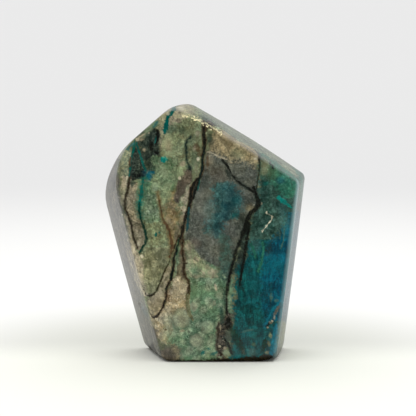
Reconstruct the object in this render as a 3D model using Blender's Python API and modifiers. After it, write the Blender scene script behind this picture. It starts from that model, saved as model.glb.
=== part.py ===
"""Polished standing freeform of shattuckite in quartz.

One solid piece of stone: five-sided in outline, with a broad front and back
face, four narrow polished facets round the rim and a flat base. Metres, +Z up,
+Y towards the back. The origin is at the middle of the underside.
"""

import math

import bmesh
import bpy
from mathutils import Matrix, Vector

NAME = "shattuckite_freeform"
MM = 0.001

# Thickness of the stone, in millimetres and degrees
DEPTH = 26.0            # front face to back face at MID_HEIGHT, before they are crowned
MID_HEIGHT = 45.0
BACK_LEAN = 1.0         # how far the back face leans forward, so the top is thinner

# Corners of the outline at mid depth, before they are rounded, in millimetres (x, z)
FOOT_LEFT = (-19.8, 0.0)
FOOT_RIGHT = (25.6, 0.0)
CORNER_RIGHT = (33.4, 64.6)
PEAK = (-10.9, 92.0)
SHOULDER = (-37.8, 68.2)

# Each facet round the rim: where it starts and ends, how many degrees it is
# turned to face the front, how far the rounding of its front edge reaches, and
# how much fuller the facet is half way along
RIM = (
    (FOOT_LEFT, SHOULDER, 15.5, 4.0, 0.3),
    (SHOULDER, PEAK, -4.5, 1.4, 0.2),
    (PEAK, CORNER_RIGHT, 5.2, 1.0, 0.7),
    (CORNER_RIGHT, FOOT_RIGHT, 8.2, 0.9, 0.2),
    (FOOT_RIGHT, FOOT_LEFT, 0.0, 1.2, 0.0),
)
BACK_ROUND = 1.6

# Each corner of the outline: how far its rounding reaches, and in how many steps
CORNERS = (
    (SHOULDER, 11.5, 9),
    (PEAK, 5.2, 7),
    (CORNER_RIGHT, 1.4, 3),
    (FOOT_LEFT, 2.6, 4),
    (FOOT_RIGHT, 1.8, 3),
)
EDGE_SEGMENTS = 4

# The front right foot is ground away below three points (x, y, z)
FOOT_CUT = ((17.5, -13.0, 0.0), (25.0, -13.0, 2.2), (26.0, 0.0, 0.0))

# Polishing by hand leaves every face a little fuller in its middle
FACE_CROWN = 1.1        # front and back faces
RIM_CROWN = 0.5         # rim facets, half way from front to back
CROWN_FLATTEN = 0.6     # how much of the face crown is lost towards the top and the base
BASE_KEEP = 12.0        # height below which the rim crown fades towards the flat base
CUT_SPACING = 7.0       # between the cuts that let a flat face take its crown

BLOCK = 300.0           # width and height of the rough block the stone is ground from
BROAD_FACING = 0.9      # a face that looks this much forward or back is a broad one
PLANE_SNAP = 0.1        # a cut moves a corner this near onto its plane


def clear_scene():
    """Remove what the scene holds, so that only the stone is in it."""
    for item in list(bpy.data.objects):
        bpy.data.objects.remove(item, do_unlink=True)


def stone_material():
    """Polished stone in the mean of its many greens and browns."""
    material = bpy.data.materials.new("polished_stone")
    material.use_nodes = True
    shader = material.node_tree.nodes["Principled BSDF"]
    shader.inputs["Base Color"].default_value = (0.115, 0.158, 0.108, 1.0)
    shader.inputs["Roughness"].default_value = 0.14
    shader.inputs["Metallic"].default_value = 0.0
    return material


def rim_normal(start, end, lean):
    """Outward direction of the rim facet that stands on one run of the outline."""
    run = Vector((end[0] - start[0], 0.0, end[1] - start[1])).normalized()
    outward = Vector((-run.z, 0.0, run.x))
    turn = math.radians(lean)
    return outward * math.cos(turn) - Vector((0.0, math.sin(turn), 0.0))


def grind_flat(stone, point, normal):
    """Take away all that is outside a plane and close the cut with one face."""
    geometry = stone.verts[:] + stone.edges[:] + stone.faces[:]
    cut = bmesh.ops.bisect_plane(
        stone, geom=geometry, dist=1e-5, plane_co=point, plane_no=normal, clear_outer=True)
    outline = [item for item in cut["geom_cut"] if isinstance(item, bmesh.types.BMEdge)]
    bmesh.ops.edgeloop_fill(stone, edges=outline)


def corner_edge(stone, corner):
    """The edge that runs from front to back over one corner of the outline."""
    def distance(edge):
        middle = (edge.verts[0].co + edge.verts[1].co) / 2.0
        return math.hypot(middle.x - corner[0] * MM, middle.z - corner[1] * MM)
    along_depth = [
        edge for edge in stone.edges
        if abs(edge.verts[0].co.y - edge.verts[1].co.y) > DEPTH * MM / 2.0]
    return min(along_depth, key=distance)


def rim_solid():
    """The block with its rim facets ground and the corners between them rounded."""
    stone = bmesh.new()
    block = Matrix.Diagonal((BLOCK * MM, 1.5 * DEPTH * MM, BLOCK * MM, 1.0))
    bmesh.ops.create_cube(stone, size=1.0, matrix=block)
    for start, end, lean, _reach, _swell in RIM:
        point = Vector((start[0], 0.0, start[1])) * MM
        grind_flat(stone, point, rim_normal(start, end, lean))
    for corner, reach, segments in CORNERS:
        bmesh.ops.bevel(
            stone, geom=[corner_edge(stone, corner)], offset=reach * MM, offset_type="OFFSET",
            segments=segments, profile=0.5, affect="EDGES", clamp_overlap=True)
    return stone


def grind_front_and_back(stone):
    """Cut the broad faces: the front one upright, the back one leaning in."""
    for side, lean in ((-1.0, 0.0), (1.0, BACK_LEAN)):
        turn = math.radians(lean)
        point = Vector((0.0, side * DEPTH / 2.0, MID_HEIGHT)) * MM
        grind_flat(stone, point, Vector((0.0, side * math.cos(turn), math.sin(turn))))


def grind_foot(stone):
    """Grind the underside away below the front right foot."""
    front, side, back = (Vector(point) * MM for point in FOOT_CUT)
    grind_flat(stone, front, (back - front).cross(side - front).normalized())


def front_reach(direction):
    """Reach of the front edge's rounding, blended from facet to facet round the rim."""
    stops = []
    for start, end, _lean, reach, _swell in RIM:
        normal = rim_normal(start, end, 0.0)
        stops.append((math.atan2(normal.z, normal.x), reach))
    stops.sort()
    first, last = stops[0], stops[-1]
    stops = [(last[0] - math.tau, last[1])] + stops + [(first[0] + math.tau, first[1])]
    for (angle_a, reach_a), (angle_b, reach_b) in zip(stops, stops[1:]):
        if angle_a <= direction <= angle_b:
            share = (direction - angle_a) / (angle_b - angle_a)
            return reach_a + (reach_b - reach_a) * share
    return first[1]


def mark_long_edges(stone):
    """Give the edges of the front and back faces the weights their bevel reads."""
    widest = max(reach for _start, _end, _lean, reach, _swell in RIM)
    layer = stone.edges.layers.float.new("bevel_weight_edge")
    stone.normal_update()
    for edge in stone.edges:
        broad = [face for face in edge.link_faces if abs(face.normal.y) > BROAD_FACING]
        rim = [face for face in edge.link_faces if abs(face.normal.y) <= BROAD_FACING]
        if not broad or not rim:
            continue
        if broad[0].normal.y > 0.0:
            edge[layer] = BACK_ROUND / widest
        else:
            normal = rim[0].normal
            edge[layer] = front_reach(math.atan2(normal.z, normal.x)) / widest
    return widest


def round_long_edges(stone):
    """Round the edges of the broad faces with one bevel of varying width."""
    widest = mark_long_edges(stone)
    mesh = bpy.data.meshes.new("rounding")
    stone.to_mesh(mesh)
    stone.free()
    holder = bpy.data.objects.new("rounding", mesh)
    bpy.context.collection.objects.link(holder)
    bevel = holder.modifiers.new("edges", "BEVEL")
    bevel.limit_method = "WEIGHT"
    bevel.offset_type = "OFFSET"
    bevel.width = widest * MM
    bevel.segments = EDGE_SEGMENTS
    bevel.use_clamp_overlap = True
    bpy.context.view_layer.update()
    evaluated = holder.evaluated_get(bpy.context.evaluated_depsgraph_get())
    rounded = bmesh.new()
    rounded.from_mesh(evaluated.data)
    bpy.data.objects.remove(holder, do_unlink=True)
    return rounded


def cut_grid(stone):
    """Divide the faces, so that a flat one can take a crown."""
    count = int(PEAK[1] / CUT_SPACING)
    for axis in (Vector((1.0, 0.0, 0.0)), Vector((0.0, 1.0, 0.0)), Vector((0.0, 0.0, 1.0))):
        for step in range(-count, count + 1):
            geometry = stone.verts[:] + stone.edges[:] + stone.faces[:]
            point = axis * (step * CUT_SPACING * MM)
            bmesh.ops.bisect_plane(
                stone, geom=geometry, dist=PLANE_SNAP * MM, plane_co=point, plane_no=axis)


def rim_swell_at(across, up):
    """How far the outline bulges in the direction of a point, in millimetres."""
    direction = math.atan2(up, across)
    for start, end, _lean, _reach, swell in RIM:
        from_angle = math.atan2(start[1] - MID_HEIGHT, start[0])
        to_angle = math.atan2(end[1] - MID_HEIGHT, end[0])
        sweep = (from_angle - to_angle) % math.tau
        share = ((from_angle - direction) % math.tau) / sweep
        if share <= 1.0:
            return swell * 4.0 * share * (1.0 - share)
    return 0.0


def crown_faces(stone):
    """Swell the faces a little towards their middles; the base stays flat."""
    half_width = (CORNER_RIGHT[0] - SHOULDER[0]) / 2.0
    half_height = PEAK[1] / 2.0
    middle = (CORNER_RIGHT[0] + SHOULDER[0]) / 2.0
    for vertex in stone.verts:
        across = (vertex.co.x / MM - middle) / half_width
        up = (vertex.co.z / MM - half_height) / half_height
        deep = min(abs(vertex.co.y / MM) / (DEPTH / 2.0), 1.0)
        fullness = (1.0 - across ** 2) * (1.0 - CROWN_FLATTEN * up ** 2)
        radial = Vector((vertex.co.x, 0.0, vertex.co.z - MID_HEIGHT * MM))
        swell = rim_swell_at(radial.x / MM, radial.z / MM) + RIM_CROWN * (1.0 - deep ** 2)
        shift = radial * (swell / half_width)
        vertex.co.x += shift.x
        vertex.co.z += shift.z * min(vertex.co.z / (BASE_KEEP * MM), 1.0)
        vertex.co.y *= 1.0 + FACE_CROWN / (DEPTH / 2.0) * fullness


def stand_on_origin(stone):
    """Move the stone so that the origin is under the middle of its box, on the base."""
    lowest = Vector(min(vertex.co[axis] for vertex in stone.verts) for axis in range(3))
    highest = Vector(max(vertex.co[axis] for vertex in stone.verts) for axis in range(3))
    shift = Vector((-(lowest.x + highest.x) / 2.0, -(lowest.y + highest.y) / 2.0, -lowest.z))
    bmesh.ops.translate(stone, verts=stone.verts, vec=shift)


def build_stone(collection):
    """Model the stone and put it in its collection."""
    stone = rim_solid()
    grind_front_and_back(stone)
    grind_foot(stone)
    stone = round_long_edges(stone)
    cut_grid(stone)
    crown_faces(stone)
    stand_on_origin(stone)
    bmesh.ops.triangulate(stone, faces=stone.faces[:])
    bmesh.ops.recalc_face_normals(stone, faces=stone.faces[:])
    mesh = bpy.data.meshes.new(NAME)
    stone.to_mesh(mesh)
    stone.free()
    mesh.shade_smooth()
    mesh.set_sharp_from_angle(angle=math.radians(30.0))
    mesh.materials.append(stone_material())
    collection.objects.link(bpy.data.objects.new(NAME, mesh))


def main():
    """Build the whole object."""
    clear_scene()
    collection = bpy.data.collections.new("shattuckite_specimen")
    bpy.context.scene.collection.children.link(collection)
    build_stone(collection)


main()
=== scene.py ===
"""A polished, free-standing shattuckite stone on a pale studio floor.

Laid out as an add-on: one operator makes the stone, one makes the stage.
Lengths in the pattern tables are millimetres on the stone: x runs to the
right, z up from the base. Everything else is in metres.
"""
import math
from collections import namedtuple

import bpy
import numpy as np
from bpy.props import FloatProperty, FloatVectorProperty, IntProperty, PointerProperty
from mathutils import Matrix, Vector, noise


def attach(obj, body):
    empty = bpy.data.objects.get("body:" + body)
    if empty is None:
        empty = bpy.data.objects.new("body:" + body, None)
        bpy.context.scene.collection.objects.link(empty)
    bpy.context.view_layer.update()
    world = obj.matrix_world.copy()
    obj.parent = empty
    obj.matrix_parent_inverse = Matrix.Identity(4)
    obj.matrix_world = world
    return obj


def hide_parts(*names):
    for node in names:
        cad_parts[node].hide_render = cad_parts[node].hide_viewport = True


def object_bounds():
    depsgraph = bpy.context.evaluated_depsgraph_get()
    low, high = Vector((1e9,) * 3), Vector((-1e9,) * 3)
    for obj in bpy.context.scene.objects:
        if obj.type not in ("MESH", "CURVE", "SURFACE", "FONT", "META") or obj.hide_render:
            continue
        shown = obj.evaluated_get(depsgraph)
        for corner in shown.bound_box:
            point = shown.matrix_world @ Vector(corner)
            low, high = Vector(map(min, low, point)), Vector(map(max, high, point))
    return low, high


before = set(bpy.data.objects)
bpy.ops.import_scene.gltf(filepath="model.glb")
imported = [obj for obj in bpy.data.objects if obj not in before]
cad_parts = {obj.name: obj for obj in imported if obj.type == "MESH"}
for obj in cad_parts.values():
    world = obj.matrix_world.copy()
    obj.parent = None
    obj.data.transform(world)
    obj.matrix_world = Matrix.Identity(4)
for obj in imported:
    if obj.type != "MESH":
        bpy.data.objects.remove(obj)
CAD_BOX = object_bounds()

bl_info = {
    "name": "Shattuckite Stone",
    "version": (1, 0, 0),
    "blender": (4, 5, 0),
    "location": "3D View > Sidebar > Stone",
    "description": "Models a polished shattuckite stone and its studio",
    "category": "Object",
}

NODE = "shattuckite_freeform"
PIECE = "polished_shattuckite"
MM = 0.001
FRONT_Y = CAD_BOX[0].y
# The camera of the photo: focal length and picture width in pixels, sensor in millimetres
FOCAL_PIXELS = 1940
PICTURE_PIXELS = 416
SENSOR_WIDTH = 36


def scene_linear(red, green, blue):
    """A display colour from 0 to 255 as the linear colour that shaders take."""
    def one(channel):
        share = channel / 255
        return share / 12.92 if share <= 0.04045 else ((share + 0.055) / 1.055) ** 2.4
    return one(red), one(green), one(blue)


def mineral(name, description, red, green, blue):
    """A colour property of the stone."""
    return FloatVectorProperty(
        name=name, description=description, subtype="COLOR", size=3, min=0, max=1,
        default=scene_linear(red, green, blue))


class StoneColours(bpy.types.PropertyGroup):
    """Colours of the minerals that show in the polished faces."""

    olive: mineral("Olive", "Iron-stained green ground", 110, 113, 84)
    olive_pale: mineral("Pale olive", "Lighter mottles of the olive ground", 146, 148, 116)
    leaf: mineral("Leaf green", "Fibrous green mass", 88, 116, 84)
    leaf_pale: mineral("Pale leaf green", "Lighter mottles of the green mass", 138, 154, 118)
    mint: mineral("Mint", "Clear green of the lower middle", 98, 131, 102)
    mint_pale: mineral("Pale mint", "Round pale spots in the mint green", 142, 161, 133)
    sea: mineral("Sea green", "Bluish green at the upper right", 36, 104, 86)
    sea_pale: mineral("Pale sea green", "Lighter mottles of the sea green", 60, 116, 97)
    moss: mineral("Dark moss", "Dark grey green of the right field", 30, 62, 54)
    moss_pale: mineral("Moss", "Lighter mottles of the right field", 70, 106, 96)
    cream: mineral("Cream", "Pale calcite-like patches", 160, 152, 128)
    cream_pale: mineral("Pale cream", "Lightest patches and streaks", 190, 182, 156)
    beige: mineral("Beige", "Warm block between the left veins", 120, 114, 90)
    tan: mineral("Tan", "Warm band below the upper facet", 140, 133, 104)
    tan_pale: mineral("Pale tan", "Lighter mottles of the tan band", 162, 148, 114)
    ochre: mineral("Ochre", "Iron-stained streaks", 116, 103, 68)
    umber: mineral("Umber", "Brown stains beside the veins", 84, 60, 40)
    mauve: mineral("Mauve brown", "Dull brown lens and foot", 80, 74, 64)
    mauve_pale: mineral("Pale mauve", "Lighter mottles of the lens", 108, 100, 87)
    quartz: mineral("Quartz", "Smoky quartz of the middle", 76, 82, 74)
    quartz_pale: mineral("Pale quartz", "Lighter mottles of the quartz", 112, 116, 106)
    quartz_blue: mineral("Blue quartz", "Quartz stained by blue fibres", 30, 70, 73)
    quartz_blue_pale: mineral("Pale blue quartz", "Lighter mottles of the same", 66, 108, 106)
    teal: mineral("Teal", "Veins of blue-green fibres", 0, 92, 84)
    teal_bright: mineral("Bright teal", "Brightest blue-green spots", 0, 134, 122)
    teal_deep: mineral("Deep teal", "Ground of the lower right", 6, 64, 68)
    teal_soft: mineral("Soft teal", "Lighter streaks of the lower right", 16, 98, 100)
    blue: mineral("Shattuckite blue", "Blue fibrous mass", 4, 98, 116)
    blue_bright: mineral("Bright blue", "Brightest blue fibres by the right edge", 8, 112, 134)
    blue_deep: mineral("Deep blue", "Darker depths of the blue mass", 0, 64, 84)
    charcoal: mineral("Charcoal", "Dark speckled patches", 30, 42, 37)
    charcoal_pale: mineral("Pale charcoal", "Lighter mottles of the dark patches", 68, 80, 70)
    black: mineral("Black", "Manganese-black cores of the veins", 20, 23, 19)
    bark: mineral("Bark", "Dark brown cores of the veins", 42, 34, 22)
    ink: mineral("Ink green", "Darkest green of the veins", 0, 50, 38)
    # Real white flecks and scratches, and also a painted highlight on the polished tip
    fleck: mineral("Fleck", "White flecks and scratches", 214, 208, 182)
    # Painted highlight: glints on the rough grains of the upper edge
    gold: mineral("Gold", "Glinting grains of the rough upper edge", 255, 244, 190)
    # Painted highlight: the pale band down the rounded right edge, in place of the light that it catches
    frost: mineral("Frost", "Pale worn right edge", 134, 166, 166)
    # Partly painted reflection: on the side facets this grey stands in for the pale room that they
    # mirror; beside two veins it is a grey stain
    rind: mineral("Rind", "Grey of the side facets", 88, 88, 80)
    rind_sheen_pale: mineral("Pale rind", "Lighter streaks of the side facets", 122, 120, 110)
    lip: mineral("Lip", "Grey green of the upper facet", 108, 122, 102)
    lip_pale: mineral("Pale lip", "Lighter streaks of the upper facet", 132, 144, 120)


class StoneSizes(bpy.types.PropertyGroup):
    """Sizes of the stone's surface detail."""

    grain: FloatProperty(
        name="Mesh grain", description="Spacing of the finished mesh", default=0.45 * MM,
        min=0.4 * MM, max=4 * MM, subtype="DISTANCE", unit="LENGTH")
    smoothing: IntProperty(
        name="Polishing passes", description="Smoothing passes after the remesh",
        default=6, min=0, max=100)
    groove_depth: FloatProperty(
        name="Groove depth", description="Deepest undercut along the dark veins",
        default=0.16 * MM, min=0, max=1 * MM, subtype="DISTANCE", unit="LENGTH")
    pit_depth: FloatProperty(
        name="Pit depth", description="Depth of the pits in the dark patches",
        default=0.3 * MM, min=0, max=1 * MM, subtype="DISTANCE", unit="LENGTH")
    crust_height: FloatProperty(
        name="Crust height", description="Relief of the rough golden edge",
        default=0.3 * MM, min=0, max=1 * MM, subtype="DISTANCE", unit="LENGTH")
    chip_depth: FloatProperty(
        name="Chip depth", description="Depth of the chip low on the left edge",
        default=0.5 * MM, min=0, max=2 * MM, subtype="DISTANCE", unit="LENGTH")
    foot_round: FloatProperty(
        name="Foot rounding", description="Radius of the rounded bottom edge",
        default=1.4 * MM, min=0.1 * MM, max=4 * MM, subtype="DISTANCE", unit="LENGTH")
    gloss: FloatProperty(
        name="Polish", description="Roughness of the polished faces",
        default=0.13, min=0, max=1, subtype="FACTOR")


class StageSettings(bpy.types.PropertyGroup):
    """Camera, floor and light."""

    camera_distance: FloatProperty(
        name="Camera distance", description="From the aim point to the camera",
        default=0.7, min=0.2, max=5, subtype="DISTANCE", unit="LENGTH")
    camera_height_angle: FloatProperty(
        name="Camera elevation", description="How far the camera looks down",
        default=math.radians(7), min=0, max=1.5, subtype="ANGLE", unit="ROTATION")
    focal_length: FloatProperty(
        name="Focal length", description="Focal length in millimetres on a 36 mm sensor",
        default=SENSOR_WIDTH * FOCAL_PIXELS / PICTURE_PIXELS, min=10, max=500)
    aim: FloatVectorProperty(
        name="Aim point", description="Point in the middle of the picture",
        default=(0.0011, 0, 0.0539), subtype="TRANSLATION", unit="LENGTH")
    floor_radius: FloatProperty(
        name="Floor radius", description="Half the width of the pale floor",
        default=20, min=1, max=100, subtype="DISTANCE", unit="LENGTH")
    floor_front: FloatVectorProperty(
        name="Front floor", description="Floor colour in front of the stone",
        default=scene_linear(243, 244, 235), subtype="COLOR", size=3, min=0, max=1)
    # Painted shadow on the floor beside and behind the stone
    floor_painted_shadow: FloatVectorProperty(
        name="Near floor", description="Floor colour beside and behind the stone",
        default=scene_linear(218, 219, 212), subtype="COLOR", size=3, min=0, max=1)
    # Painted light: a brighter band of floor just behind the stone
    floor_painted_light: FloatVectorProperty(
        name="Bright floor", description="Floor colour just behind the stone",
        default=scene_linear(240, 240, 238), subtype="COLOR", size=3, min=0, max=1)
    floor_far: FloatVectorProperty(
        name="Far floor", description="Floor colour in the distance",
        default=scene_linear(216, 216, 216), subtype="COLOR", size=3, min=0, max=1)
    ceiling_light: FloatProperty(
        name="Ceiling light", description="Brightness of the soft light overhead",
        default=1.6, min=0, max=20)
    wall_light: FloatProperty(
        name="Wall light", description="Brightness of the pale walls behind and beside",
        default=0.78, min=0, max=20)
    mirrored_share: FloatProperty(
        name="Mirrored share", description="Share of the light that the polish mirrors",
        default=0.68, min=0, max=1, subtype="FACTOR")
    front_light: FloatProperty(
        name="Front light", description="Soft light from the camera's side, not mirrored",
        default=0.5, min=0, max=20)


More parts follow.
